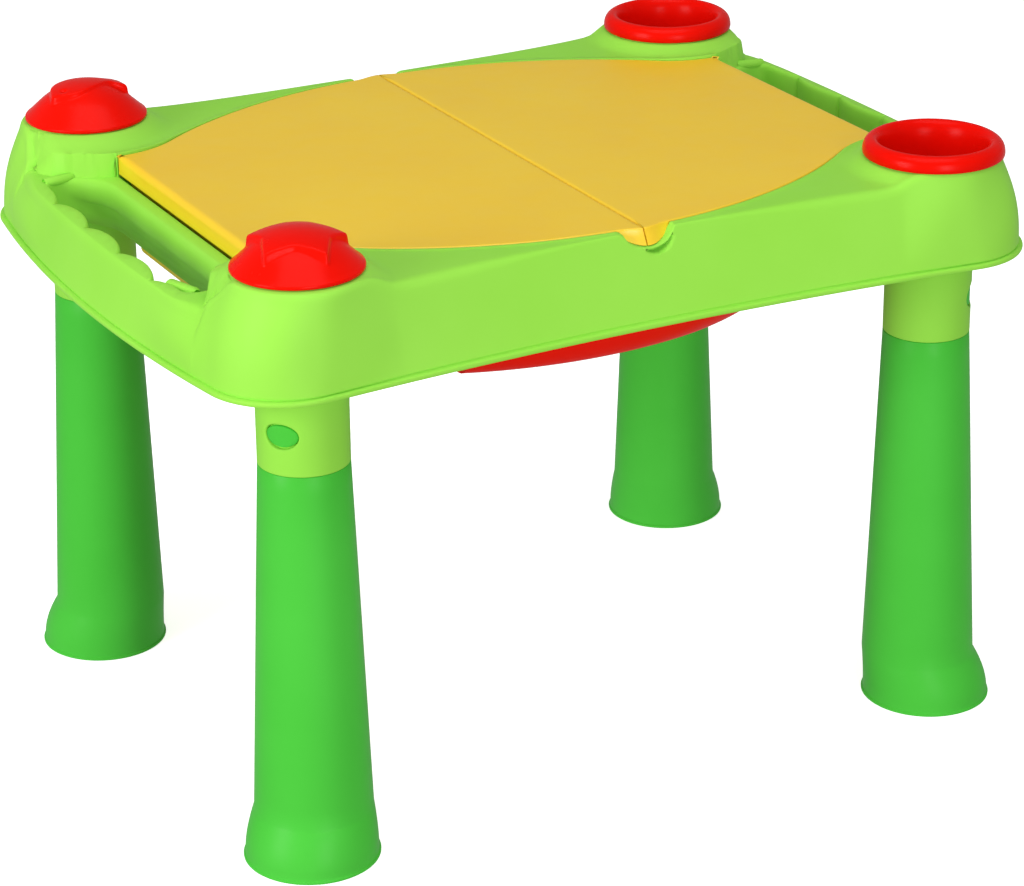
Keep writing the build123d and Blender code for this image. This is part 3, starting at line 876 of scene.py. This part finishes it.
def window_patch(cx, cy, facing, low_z, high_z):
    """Unrolled socket wall with an oval window, as points on the cylinder and triangles."""
    half_turn = pi * SOCKET_R
    window = [
        (WINDOW_HALF[0] * cos(2 * pi * i / 56), WINDOW_HALF[1] * sin(2 * pi * i / 56))
        for i in range(56)
    ]
    rings = []
    for grow in (1.35, 0.7, 0.25, 0.0):
        rings.append([(x * (1 + grow / WINDOW_HALF[0]), y * (1 + grow / WINDOW_HALF[1]))
                      for x, y in window])
    base, top = low_z - BUTTON_Z, high_z - BUTTON_Z
    across = 96
    border = [(mix(-half_turn, half_turn, i / across), base) for i in range(across)]
    border += [(half_turn, mix(base, top, i / 10)) for i in range(10)]
    border += [(mix(half_turn, -half_turn, i / across), top) for i in range(across)]
    border += [(-half_turn, mix(top, base, i / 10)) for i in range(10)]
    low, high = (2 - half_turn, base + 2), (half_turn - 2, top - 2)
    fill = even_fill(low, high, 5.5, 2.2, border, [rings[0]])
    spots, faces = triangulate(border, [rings[0]], [], fill)

    def wrap(s, h, depth):
        angle = facing + s / SOCKET_R
        radius = SOCKET_R - depth
        return (cx + radius * cos(angle), cy + radius * sin(angle), BUTTON_Z + h)

    points = [wrap(s, h, 0.0) for s, h in spots]
    depths = (0.0, 0.15, 0.6, 1.4)
    rows = [[wrap(s, h, depth) for s, h in ring] for ring, depth in zip(rings, depths)]
    rows.append([wrap(s, h, SOCKET_R - SOCKET_BORE_R) for s, h in window])
    return points, faces, rows


def make_socket(corner, sx, sy):
    """Cup well with a rounded rim, and the leg socket under it with its latch window."""
    cx, cy = sx * CORNER_X, sy * CORNER_Y
    facing = latch_facing(sx, sy)
    skin = Skin()
    points, faces, rows = window_patch(cx, cy, facing, SOCKET_FOOT_Z + 1.0, WELL_FLOOR_Z - 8.0)
    skin.patch(points, faces)
    skin.rows(rows, flip=True)
    outer_r = WELL_R + WELL_WALL
    top = TURRET_TOP_Z - 1.0
    profile = [(0.1, WELL_FLOOR_Z), (40.0, WELL_FLOOR_Z), (44.5, WELL_FLOOR_Z + 0.7),
               (47.2, WELL_FLOOR_Z + 2.6), (WELL_R, WELL_FLOOR_Z + 6), (WELL_R, top - 2.2),
               (WELL_R + 0.5, top - 0.8), (WELL_R + 1.5, top), (outer_r - 0.6, top),
               (outer_r, top - 0.6), (outer_r, WELL_FLOOR_Z + 4), (outer_r - 1, WELL_FLOOR_Z),
               (outer_r - 4, WELL_FLOOR_Z - WELL_WALL), (SOCKET_R + 2.0, WELL_FLOOR_Z - WELL_WALL),
               (SOCKET_R + 0.5, WELL_FLOOR_Z - 4.5), (SOCKET_R, WELL_FLOOR_Z - 8.0)]
    skin.rows(lathe_rows(profile[::-1], cx, cy), flip=True)
    skin.fan(lathe_rows(profile[:1], cx, cy)[0], (cx, cy, WELL_FLOOR_Z))
    foot = [(SOCKET_R, SOCKET_FOOT_Z + 1.0), (SOCKET_R - 0.3, SOCKET_FOOT_Z + 0.35),
            (SOCKET_R - 1.0, SOCKET_FOOT_Z + 0.1), (SOCKET_BORE_R + 0.6, SOCKET_FOOT_Z + 0.1),
            (SOCKET_BORE_R, SOCKET_FOOT_Z + 0.7), (SOCKET_BORE_R, WELL_FLOOR_Z - 4.0)]
    skin.rows(lathe_rows(foot, cx, cy))
    skin.piece(f"socket_{corner}", "table", "light_green_plastic", [f"leg_socket_{corner}"])


def leg_profile():
    """Rows of a leg from the floor up: lip, bulging foot, ankle and straight taper."""
    rows = [(0.0, FOOT_R - 0.8, 1.0), (0.5, FOOT_R - 0.1, 1.0), (1.6, FOOT_R, 1.0),
            (2.4, FOOT_R - 0.3, 1.0), (2.9, FOOT_R - 1.2, 1.0), (4.2, FOOT_R - 1.5, 0.99)]
    lean_z = 6.0
    for step in range(1, 15):
        t = step / 14
        share = t**1.7
        z = mix(lean_z, ANKLE_Z, t)
        rows.append((z, mix(FOOT_R - 1.6, ANKLE_R, share), 1 - share))
    for step in range(1, 21):
        t = step / 20
        z = mix(ANKLE_Z, SOCKET_FOOT_Z - 0.8, t)
        rows.append((z, mix(ANKLE_R, SOCKET_R - 0.05, t), -t))
    rows += [(SOCKET_FOOT_Z - 0.2, SOCKET_R - 0.5, -1.0), (SOCKET_FOOT_Z, SOCKET_R - 1.3, -1.0)]
    return rows


def make_leg(corner, sx, sy):
    """Tapered leg with a flared foot and a slotted spigot that fills the socket."""
    rows = []
    for z, radius, lean in leg_profile():
        if lean >= 0:
            out_x = mix(LEG_SPLAY, FOOT_OFFSET[0], lean)
            out_y = mix(LEG_SPLAY, FOOT_OFFSET[1], lean)
        else:
            out_x = out_y = LEG_SPLAY * (1 + lean)
        ring = ring_points(sx * (CORNER_X + out_x), sy * (CORNER_Y + out_y), radius, 112)
        rows.append([(x, y, z) for x, y in ring])
    cx, cy = sx * CORNER_X, sy * CORNER_Y
    spigot = [(SPIGOT_R + 0.6, SOCKET_FOOT_Z), (SPIGOT_R, SOCKET_FOOT_Z + 0.6),
              (SPIGOT_R, BUTTON_Z - 30), (SPIGOT_R, SPIGOT_TOP_Z - 2.5),
              (SPIGOT_R - 0.7, SPIGOT_TOP_Z - 0.6), (SPIGOT_R - 2.0, SPIGOT_TOP_Z),
              (SPIGOT_R - 3.0, SPIGOT_TOP_Z - 1.0), (SPIGOT_R - 3.0, SOCKET_FOOT_Z + 4)]
    skin = Skin()
    skin.rows(rows[::-1])
    skin.fan(rows[0], (sx * (CORNER_X + FOOT_OFFSET[0]), sy * (CORNER_Y + FOOT_OFFSET[1]), 1.0),
             flip=True)
    skin.rows(lathe_rows(spigot, cx, cy, 112), flip=True)
    obj = skin.piece(f"tapered_{corner}", "table", "leg_green_plastic", [f"leg_{corner}"])
    cut_latch_slot(obj, sx, sy)


def cut_latch_slot(obj, sx, sy):
    """Removes the spigot faces that stand where the latch tongue bends."""
    facing = latch_facing(sx, sy)
    half_angle = TONGUE_SLOT_HALF / SPIGOT_R
    bm = bmesh.new()
    bm.from_mesh(obj.data)
    gone = []
    for face in bm.faces:
        centre = face.calc_center_median() / MM
        dx, dy = centre.x - sx * CORNER_X, centre.y - sy * CORNER_Y
        turn = (atan2(dy, dx) - facing + pi) % (2 * pi) - pi
        low_spigot = SOCKET_FOOT_Z + 1.0
        if abs(turn) < half_angle and hypot(dx, dy) < SPIGOT_R + 0.3 and centre.z > low_spigot:
            gone.append(face)
    bmesh.ops.delete(bm, geom=gone, context="FACES")
    bm.to_mesh(obj.data)
    bm.free()


def make_latch(corner, sx, sy):
    """Oval crowned button on its bending tongue."""
    facing = latch_facing(sx, sy)
    ux, uy = cos(facing), sin(facing)

    def place(across, height, out):
        return (
            sx * CORNER_X + ux * out - uy * across,
            sy * CORNER_Y + uy * out + ux * across,
            height,
        )

    skin = Skin()
    rows = []
    for share, depth in [(1.0, -5.5), (1.0, -1.2), (0.985, -0.6), (0.95, -0.2), (0.88, 0.0),
                         (0.7, 0.08), (0.45, 0.14), (0.2, 0.16)]:
        row = []
        for i in range(56):
            angle = 2 * pi * i / 56
            across = BUTTON_HALF[0] * share * cos(angle)
            up = BUTTON_HALF[1] * share * sin(angle)
            crown = BUTTON_FACE_R + 0.2 - across * across / (2 * BUTTON_FACE_R) + depth
            row.append(place(across, BUTTON_Z + up, min(crown, BUTTON_FACE_R)))
        rows.append(row)
    skin.rows(rows[::-1])
    skin.fan(rows[-1], place(0, BUTTON_Z, BUTTON_FACE_R))
    # tongue behind the button: a rounded strip
    low, high, half, thick = 353.5, 401.5, 9.6, 2.2
    back = 29.9
    strip = []
    for inset, out in [(1.2, back), (0.2, back + 0.5), (0.0, back + thick - 0.6),
                       (0.6, back + thick), (2.0, back + thick)]:
        ring = []
        for qx, qz, start in [(1, 1, 0), (-1, 1, 90), (-1, -1, 180), (1, -1, 270)]:
            for i in range(7):
                angle = radians(start + 15 * i)
                radius = 4.0
                across = qx * (half - radius) + (radius - inset) * cos(angle)
                middle, span = (low + high) / 2, (high - low) / 2
                up = middle + qz * (span - radius) + (radius - inset) * sin(angle)
                ring.append(place(across, up, out))
        strip.append(ring)
    skin.rows(strip[::-1])
    skin.fan(strip[-1], place(0, (low + high) / 2, back + thick))
    skin.fan(strip[0], place(0, (low + high) / 2, back), flip=True)
    skin.piece(f"button_{corner}", f"latch_{corner}", "leg_green_plastic",
               [f"leg_latch_{corner}"])


# ---- tubs


def half_outline(inset, split_x, sign):
    """One side of the opening cut off at X = split_x, counter-clockwise, with its straight cut.

    sign is +1 for the part beyond split_x on the right and -1 for the part on the left.
    """
    quarter = opening_quarter(inset)
    start = next(i for i, (x, _) in enumerate(quarter) if x < abs(split_x) + 4 and i > 30)
    side = SIDE_R - inset

    def on_side(x):
        return (x, SIDE_CENTRE_Y + sqrt(side**2 - x * x))

    if sign * split_x >= 0:
        # the cut lies in this same half
        keep = quarter[:start]
        x_from = keep[-1][0]
        extra = max(2, int((x_from - abs(split_x)) / 4))
        upper = keep + [on_side(mix(x_from, abs(split_x), (i + 1) / extra)) for i in range(extra)]
    else:
        # the cut lies beyond the middle
        extra = 40
        upper = quarter[:-1] + [on_side(-abs(split_x) * i / extra) for i in range(extra + 1)]
    corner = upper[-1]
    seam = [(corner[0], corner[1] * (1 - 2 * i / SEAM_POINTS)) for i in range(1, SEAM_POINTS)]
    lower = [(x, -y) for x, y in upper[::-1]]
    loop = upper + seam + lower[:-1]
    return [(sign * x, sign * y) for x, y in loop]


def make_tub(name, sign, split_x, wall, floor_z, slot, pull=0.0):
    """Hanging tub: rolled flange, drafted wall, round knee and a flat floor, inside and out.

    wall is the outer wall's rows of inset and height, from under the flange to the floor.
    pull is how far the wall of the outer end draws in below the flange.
    """
    flange = [(10.2, 479.0, 3.0), (9.6, 479.9, 2.6), (7.0, 479.9, 1.5), (4.0, 479.9, -0.6),
              (3.2, 479.5, -0.9), (3.0, 478.6, -1.0), (3.2, 477.7, -0.9), (4.0, FLANGE_Z, -0.6),
              (6.4, FLANGE_Z, -0.2), (7.0, 476.8, 0.0)]
    outer = [(inset, z, 0.0) for inset, z in wall]
    inner = [(inset + TUB_WALL, z + TUB_WALL * smoothstep(floor_z + 22, floor_z, z), TUB_WALL)
             for inset, z in wall[::-1]]
    rows = []
    for inset, z, cut in inner + flange + outer:
        back = sign * pull * smoothstep(476.0, 425.0, z)
        outline = half_outline(inset, split_x + sign * cut, sign)
        rows.append([(x - back * smoothstep(60, 270, abs(x)) * (x * sign > 0), y, z)
                     for x, y in outline])
    skin = Skin()
    skin.rows(rows)
    for ring, flip in ((rows[0], False), (rows[-1], True)):
        mx = sum(p[0] for p in ring) / len(ring)
        inside_rows = [ring]
        for share in (0.96, 0.85, 0.65, 0.4, 0.15):
            inside_rows.append([(mix(mx, x, share), y * share, z) for x, y, z in ring])
        skin.rows(inside_rows, flip=not flip)
        skin.fan(inside_rows[-1], (mx, 0.0, ring[0][2]), flip=flip)
    skin.piece(f"{name}_pan", name, slot, [name], angle=50)


# ---- lids


def outward(loop):
    """Outward unit normals of a counter-clockwise loop."""
    result = []
    total = len(loop)
    for i in range(total):
        (x0, y0), (x1, y1) = loop[i - 1], loop[(i + 1) % total]
        length = hypot(x1 - x0, y1 - y0)
        result.append(((y1 - y0) / length, -(x1 - x0) / length))
    return result


LID_TOP_Z, LID_FOOT_Z, LID_SEAM = 497.0, 479.6, 0.6


def make_lid(name, sx):
    """Half lid with a rolled edge, a rim all round and its share of the finger tabs."""
    loop = half_outline(0.0, sx * LID_SEAM, sx)
    normals = outward(loop)
    seam_x = LID_SEAM + 1e-6
    rows = [[] for _ in range(13)]
    for (x, y), (nx, ny) in zip(loop, normals):
        on_seam = abs(x) <= seam_x
        corner = on_seam and abs(y) > LID_WIDTH - 0.1
        if on_seam:
            nx, ny = -sx, 0.0
        straight = smoothstep(0.9, 1.0, abs(nx)) * (1 - smoothstep(128, 139, abs(y)))
        soft = (3.4 if sx > 0 else 1.3) if on_seam else 1.8 + 3.4 * straight
        if corner:
            nx, ny = -sx * 0.7, (1 if y > 0 else -1) * 0.7
            soft = 1.8
        side = -1 if y < 0 else 1
        t = (x + side * TAB_CENTRE) / TAB_HALF
        tab = abs(y) > 200 and abs(t) < 1 and (corner or not on_seam)
        out = TAB_OUT * cos(pi / 2 * t) ** 2 if tab else 0.0
        drop = TAB_DROP * sqrt(1 - t * t) if tab else 0.0
        low = LID_TOP_Z - max(soft + 0.6, drop)
        profile = []
        for share in (1.0, 0.75, 0.5, 0.25, 0.0):
            angle = pi / 2 * share
            profile.append((out - soft + soft * cos(angle), LID_TOP_Z - soft + soft * sin(angle)))
        profile = [(out - soft - 2.0, LID_TOP_Z)] + profile
        lean = TAB_LEAN * max(drop - soft, 0.0)
        profile += [(out + lean / 2, mix(LID_TOP_Z - soft, low, 0.5)), (out + lean, low)]
        under = low if tab else low - 0.3
        profile += [(min(out, 0.0) if not tab else out * 0.5, under), (0.0, under)]
        profile += [(0.0, mix(under, LID_FOOT_Z, 0.5)), (0.0, LID_FOOT_Z + 0.8)]
        profile += [(-0.5, LID_FOOT_Z)]
        for row, (o, z) in zip(rows, profile):
            if on_seam and not corner:
                row.append((x + nx * o, y, z))
            elif tab or corner:
                row.append((x + (nx * min(o, 0.0) if corner else 0.0), y + side * o, z))
            else:
                row.append((x + nx * o, y + ny * o, z))
    skin = Skin()
    skin.rows(rows)
    outer = [(p[0], p[1]) for p in rows[0]]
    fill = even_fill((-300, -245), (300, 245), 14.0, 5.0, outer)
    spots, faces = triangulate(outer, [], [], fill)
    skin.patch([(x, y, LID_TOP_Z) for x, y in spots], faces)
    skin.piece(f"{name}_half", name, "yellow_plastic", [name], thick=2.6)


# ---- cups and sand moulds


def make_cup(place, sy):
    """Drop-in cup: thick rolled rim, smooth funnel mouth and a tapered bowl."""
    cx, cy = CORNER_X, sy * CORNER_Y
    outer = [(0.1, CUP_FLOOR_Z + 1.2), (30.0, CUP_FLOOR_Z + 1.0), (34.5, CUP_FLOOR_Z),
             (37.2, CUP_FLOOR_Z), (38.6, CUP_FLOOR_Z + 1.0), (39.3, CUP_FLOOR_Z + 3.0)]
    outer += segment((39.3, CUP_FLOOR_Z + 3), (46.0, SEAT_Z - 1.5), 8)
    outer += [(46.6, SEAT_Z - 0.3), (47.6, SEAT_Z), (52.5, SEAT_Z), (57.6, SEAT_Z),
              (58.4, SEAT_Z - 0.6), (58.7, SEAT_Z - 2.4), (59.3, SEAT_Z - 2.9),
              (60.0, SEAT_Z - 2.4), (CUP_RIM_R, SEAT_Z - 1.0)]
    rim = bezier((CUP_RIM_R, SEAT_Z - 1.0), (CUP_RIM_R, 517.5), (53.4, 519.7), 9)
    rim += bezier((53.4, 519.7), (48.0, CUP_RIM_TOP_Z + 1.2), (45.2, 512.8), 9)
    funnel = bezier((45.2, 512.8), (43.4, 507.3), (42.6, 497.8), 8)
    base_r = 39.0 - CUP_WALL
    inner_z = CUP_FLOOR_Z + CUP_WALL
    wall = segment((42.6, 497.8), (base_r + 0.4, CUP_FLOOR_Z + 8), 8)
    floor = bezier(wall[-1], (base_r - 0.4, inner_z), (base_r - 6, inner_z), 6)
    profile = outer + rim + funnel + wall + floor + [(15.0, inner_z), (0.1, inner_z)]
    skin = Skin()
    skin.rows(lathe_rows(profile, cx, cy, 128), flip=True)
    for radius, z, flip in [(0.1, CUP_FLOOR_Z + 1.2, True), (0.1, inner_z, False)]:
        skin.fan(lathe_rows([(radius, z)], cx, cy, 128)[0], (cx, cy, z), flip=flip)
    skin.piece(f"beaker_{place}", f"cup_{place}", "red_plastic", [f"cup_{place}"], angle=50)


def dome_height(radius):
    """Height of the mould's dome and side cone under the raised shape."""
    if radius > MOULD_KNEE_R:
        foot = MOULD_R - 1.2
        return mix(MOULD_KNEE_Z, SEAT_Z + 3.6, (radius - MOULD_KNEE_R) / (foot - MOULD_KNEE_R))
    return MOULD_KNEE_Z + sqrt(DOME_R**2 - radius**2) - sqrt(DOME_R**2 - MOULD_KNEE_R**2)


def crown_height(radius):
    """Height of the raised shape's domed top."""
    return MOULD_TOP_Z - CROWN_R + sqrt(CROWN_R**2 - radius**2)


def softened(corners, cut):
    """Smooth closed outline: every corner becomes a curve and every edge gets points along it."""
    result = []
    total = len(corners)
    for i in range(total):
        before, here, after = (Vector(corners[(i + k) % total]) for k in (-1, 0, 1))
        start = here + (before - here).normalized() * min(cut, (before - here).length * 0.45)
        stop = here + (after - here).normalized() * min(cut, (after - here).length * 0.45)
        if result:
            last = Vector(result[-1])
            count = max(1, round((start - last).length / 2.0))
            result += [tuple(last.lerp(start, k / count)) for k in range(1, count)]
        result += [tuple(start)] + bezier(tuple(start), tuple(here), tuple(stop), 6)
    last, first = Vector(result[-1]), Vector(result[0])
    count = max(1, round((first - last).length / 2.0))
    return result + [tuple(last.lerp(first, k / count)) for k in range(1, count)]


def star_outline():
    """Corners of the five-pointed star."""
    corners = []
    for step in range(10):
        radius = STAR_NOTCH_R if step % 2 else STAR_R
        angle = radians(STAR_TURN + 36 * step)
        corners.append((radius * cos(angle), radius * sin(angle)))
    return corners


def make_mould(name, body, sy, outline, cut, eyes):
    """Hollow sand mould, stored upside down: brim, side cone, dome and raised shape."""
    cx, cy = -CORNER_X, sy * CORNER_Y
    outline = softened(outline, cut)
    normals = outward(outline)
    count = 160

    def ring(out, share, drop=0.0):
        row = []
        for (x, y), (nx, ny) in zip(outline, normals):
            px, py = x + nx * out, y + ny * out
            r = hypot(px, py)
            row.append((px, py, mix(dome_height(r), crown_height(r), share) - drop))
        return row

    def dip(x, y):
        nearest = min((hypot(x - ex, y - ey) for ex, ey in eyes), default=99.0)
        return 1.9 * (1 - smoothstep(0.25 * EYE_R, 1.3 * EYE_R, nearest))

    rows = [ring(1.8, 0.0), ring(0.9, 0.03), ring(0.4, 0.16), ring(0.1, 0.4), ring(-0.2, 0.68),
            ring(-0.7, 0.88), ring(-1.4, 0.975), ring(-2.3, 1.0)]
    skin = Skin()
    skin.rows([[(cx + x, cy + y, z) for x, y, z in row] for row in rows], flip=True)
    # top of the raised shape
    top = [(x, y) for x, y, _ in rows[-1]]
    fill = even_fill((-50, -50), (50, 50), 3.0, 1.6, top)
    for ex, ey in eyes:
        fill = [p for p in fill if hypot(p[0] - ex, p[1] - ey) > 1.5 * EYE_R] + [(ex, ey)]
        for share, number in [(0.5, 8), (0.9, 12), (1.3, 16)]:
            fill += ring_points(ex, ey, share * EYE_R, number)
    spots, faces = triangulate(top, [], [], fill)
    skin.patch([(cx + x, cy + y, crown_height(hypot(x, y)) - dip(x, y)) for x, y in spots], faces)
    # dome round it
    edge = ring_points(0.0, 0.0, MOULD_R - 4.5, count)
    hole = [(x, y) for x, y, _ in rows[0]]
    fill = even_fill((-50, -50), (50, 50), 3.4, 1.8, edge, [hole])
    spots, faces = triangulate(edge, [hole], [], fill)
    skin.patch([(cx + x, cy + y, dome_height(hypot(x, y))) for x, y in spots], faces)
    # side, brim and the hollow inside
    side = [(r, dome_height(r)) for r in (MOULD_R - 4.5, MOULD_R - 3.2, MOULD_R - 2.0)]
    bore = MOULD_R - MOULD_WALL
    side += [(MOULD_R - 1.3, SEAT_Z + 3.7), (MOULD_R - 0.5, SEAT_Z + 3.3), (MOULD_R, SEAT_Z + 2.5),
             (MOULD_R, SEAT_Z + 0.6), (MOULD_R - 0.6, SEAT_Z), (bore + 0.4, SEAT_Z),
             (bore, SEAT_Z + 0.3), (bore, SEAT_Z + 2.0)]
    side += [(40.0, 519.3), (30.0, 525.8), (20.5, 531.8), (10.0, 534.6), (0.1, 535.4)]
    skin.rows(lathe_rows(side, cx, cy, count))
    skin.fan(lathe_rows(side[-1:], cx, cy, count)[0], (cx, cy, side[-1][1]), flip=True)
    skin.piece(name, body, "red_plastic", [body], angle=60)


for corner, (sx, sy) in CORNERS.items():
    make_socket(corner, sx, sy)
    make_leg(corner, sx, sy)
    make_latch(corner, sx, sy)

make_tub("sand_tub", -1, TUB_SPLIT_X - TUB_GAP / 2,
         [(7.2, 476.0), (8.6, 460.0), (9.9, 444.0), (11.2, 428.0), (11.9, 415.0)]
         + bezier((11.9, 415.0), (12.3, 408.0), (19.0, 408.0), 7), 408.0, "yellow_plastic")
make_tub("water_tub", 1, TUB_SPLIT_X + TUB_GAP / 2,
         [(7.2, 476.0), (14.0, 455.0), (21.7, 431.0), (28.5, 409.0), (35.0, 388.0)]
         + bezier((35.0, 388.0), (41.5, 367.0), (56.0, 367.0), 9), 367.0, "tub_red_plastic",
         pull=16.0)
make_lid("lid_left", -1)
make_lid("lid_right", 1)
make_cup("front", -1)
make_cup("back", 1)
make_mould("star_front", "star_mould_front", -1, star_outline(), 3.0, [])
make_mould("fish_back", "fish_mould_back", 1, FISH_OUTLINE, 5.0, [FISH_EYE])


# ---- stage, light and camera

VIEW_AZIMUTH, VIEW_ELEVATION, VIEW_ROLL = radians(-27.22), radians(23.07), radians(-0.74)
CAMERA_PLACE = (-1296.44, -2467.99, 1404.37)
LENS, SHIFT = 118.77, (0.0333, 0.0011)


def direction(azimuth, elevation):
    """Unit vector from the table towards the camera or a light."""
    return Vector((
        sin(azimuth) * cos(elevation), -cos(azimuth) * cos(elevation), sin(elevation)
    ))


def make_camera():
    """Camera at the height, side and distance that the object is looked at from."""
    data = bpy.data.cameras.new("camera")
    data.sensor_width = 36.0
    data.lens = LENS
    data.shift_x, data.shift_y = SHIFT
    data.clip_end = 50.0
    camera = add_object("camera", data)
    back = direction(VIEW_AZIMUTH, VIEW_ELEVATION)
    right = (-back).cross(Vector((0, 0, 1))).normalized()
    up = right.cross(-back).normalized()
    right, up = (
        right * cos(VIEW_ROLL) + up * sin(VIEW_ROLL),
        up * cos(VIEW_ROLL) - right * sin(VIEW_ROLL),
    )
    camera.matrix_world = Matrix.Translation(Vector(CAMERA_PLACE) * MM) @ Matrix(
        (right, up, back)
    ).transposed().to_4x4()
    bpy.context.scene.camera = camera


def make_floor():
    """Large plain pale floor that curves up far behind the object."""
    bm = bmesh.new()
    profile = [(-9.0, 0.0), (0.0, 0.0), (5.0, 0.0)]
    profile += [(5.0 + 3 * sin(radians(a)), 3 - 3 * cos(radians(a))) for a in range(9, 91, 9)]
    profile += [(8.0, 7.0)]
    rows = [[bm.verts.new((x, y, z)) for x in (-12.0, -4.0, 4.0, 12.0)] for y, z in profile]
    for low, high in zip(rows[:-1], rows[1:]):
        for i in range(3):
            bm.faces.new((low[i], low[i + 1], high[i + 1], high[i]))
    mesh = bpy.data.meshes.new("studio_floor")
    bm.to_mesh(mesh)
    bm.free()
    mesh.shade_smooth()
    floor = add_object("studio_floor", mesh)
    material = bpy.data.materials.new("pale_floor")
    material.use_nodes = True
    shader = material.node_tree.nodes["Principled BSDF"]
    shader.inputs["Base Color"].default_value = (0.93, 0.93, 0.93, 1)
    shader.inputs["Roughness"].default_value = 0.9
    shader.inputs["Emission Color"].default_value = (1, 1, 1, 1)
    shader.inputs["Emission Strength"].default_value = FLOOR_GLOW
    mesh.materials.append(material)
    floor.visible_diffuse = False
    floor.visible_glossy = False


FLOOR_GLOW = 0.75
SKY_LIGHT, GROUND_LIGHT = 0.31, 0.44


def softbox(name, azimuth, elevation, distance, width, height, power):
    """Rectangular area light that faces the middle of the table."""
    back = direction(radians(azimuth), radians(elevation))
    data = bpy.data.lights.new(name, "AREA")
    data.shape = "RECTANGLE"
    data.size, data.size_y = width, height
    data.energy = power
    light = add_object(name, data)
    light.location = back * distance + Vector((0, 0, 0.35))
    light.rotation_mode = "QUATERNION"
    light.rotation_quaternion = back.to_track_quat("Z", "Y")


def make_lights():
    """Softboxes on the left, in front and above, in a pale room that is darker underneath."""
    softbox("softbox_left", -78, 14, 3.2, 1.2, 1.8, 56)
    softbox("softbox_front", -8, 8, 3.2, 1.0, 1.8, 38)
    softbox("softbox_top", -20, 78, 3.0, 2.6, 2.2, 40)
    world = bpy.data.worlds.new("studio")
    bpy.context.scene.world = world
    world.use_nodes = True
    nodes, links = world.node_tree.nodes, world.node_tree.links
    place = nodes.new("ShaderNodeTexCoord")
    split = nodes.new("ShaderNodeSeparateXYZ")
    links.new(place.outputs["Generated"], split.inputs["Vector"])
    level = new_node(nodes, "ShaderNodeMapRange", {
        "From Min": -0.25, "From Max": 0.15, "To Min": GROUND_LIGHT, "To Max": SKY_LIGHT,
    })
    level.interpolation_type = "SMOOTHSTEP"
    links.new(split.outputs["Z"], level.inputs["Value"])
    links.new(level.outputs["Result"], nodes["Background"].inputs["Strength"])
    nodes["Background"].inputs["Color"].default_value = (1.0, 1.0, 1.0, 1)


bpy.context.scene.view_settings.view_transform = "Standard"
make_camera()
make_floor()
make_lights()
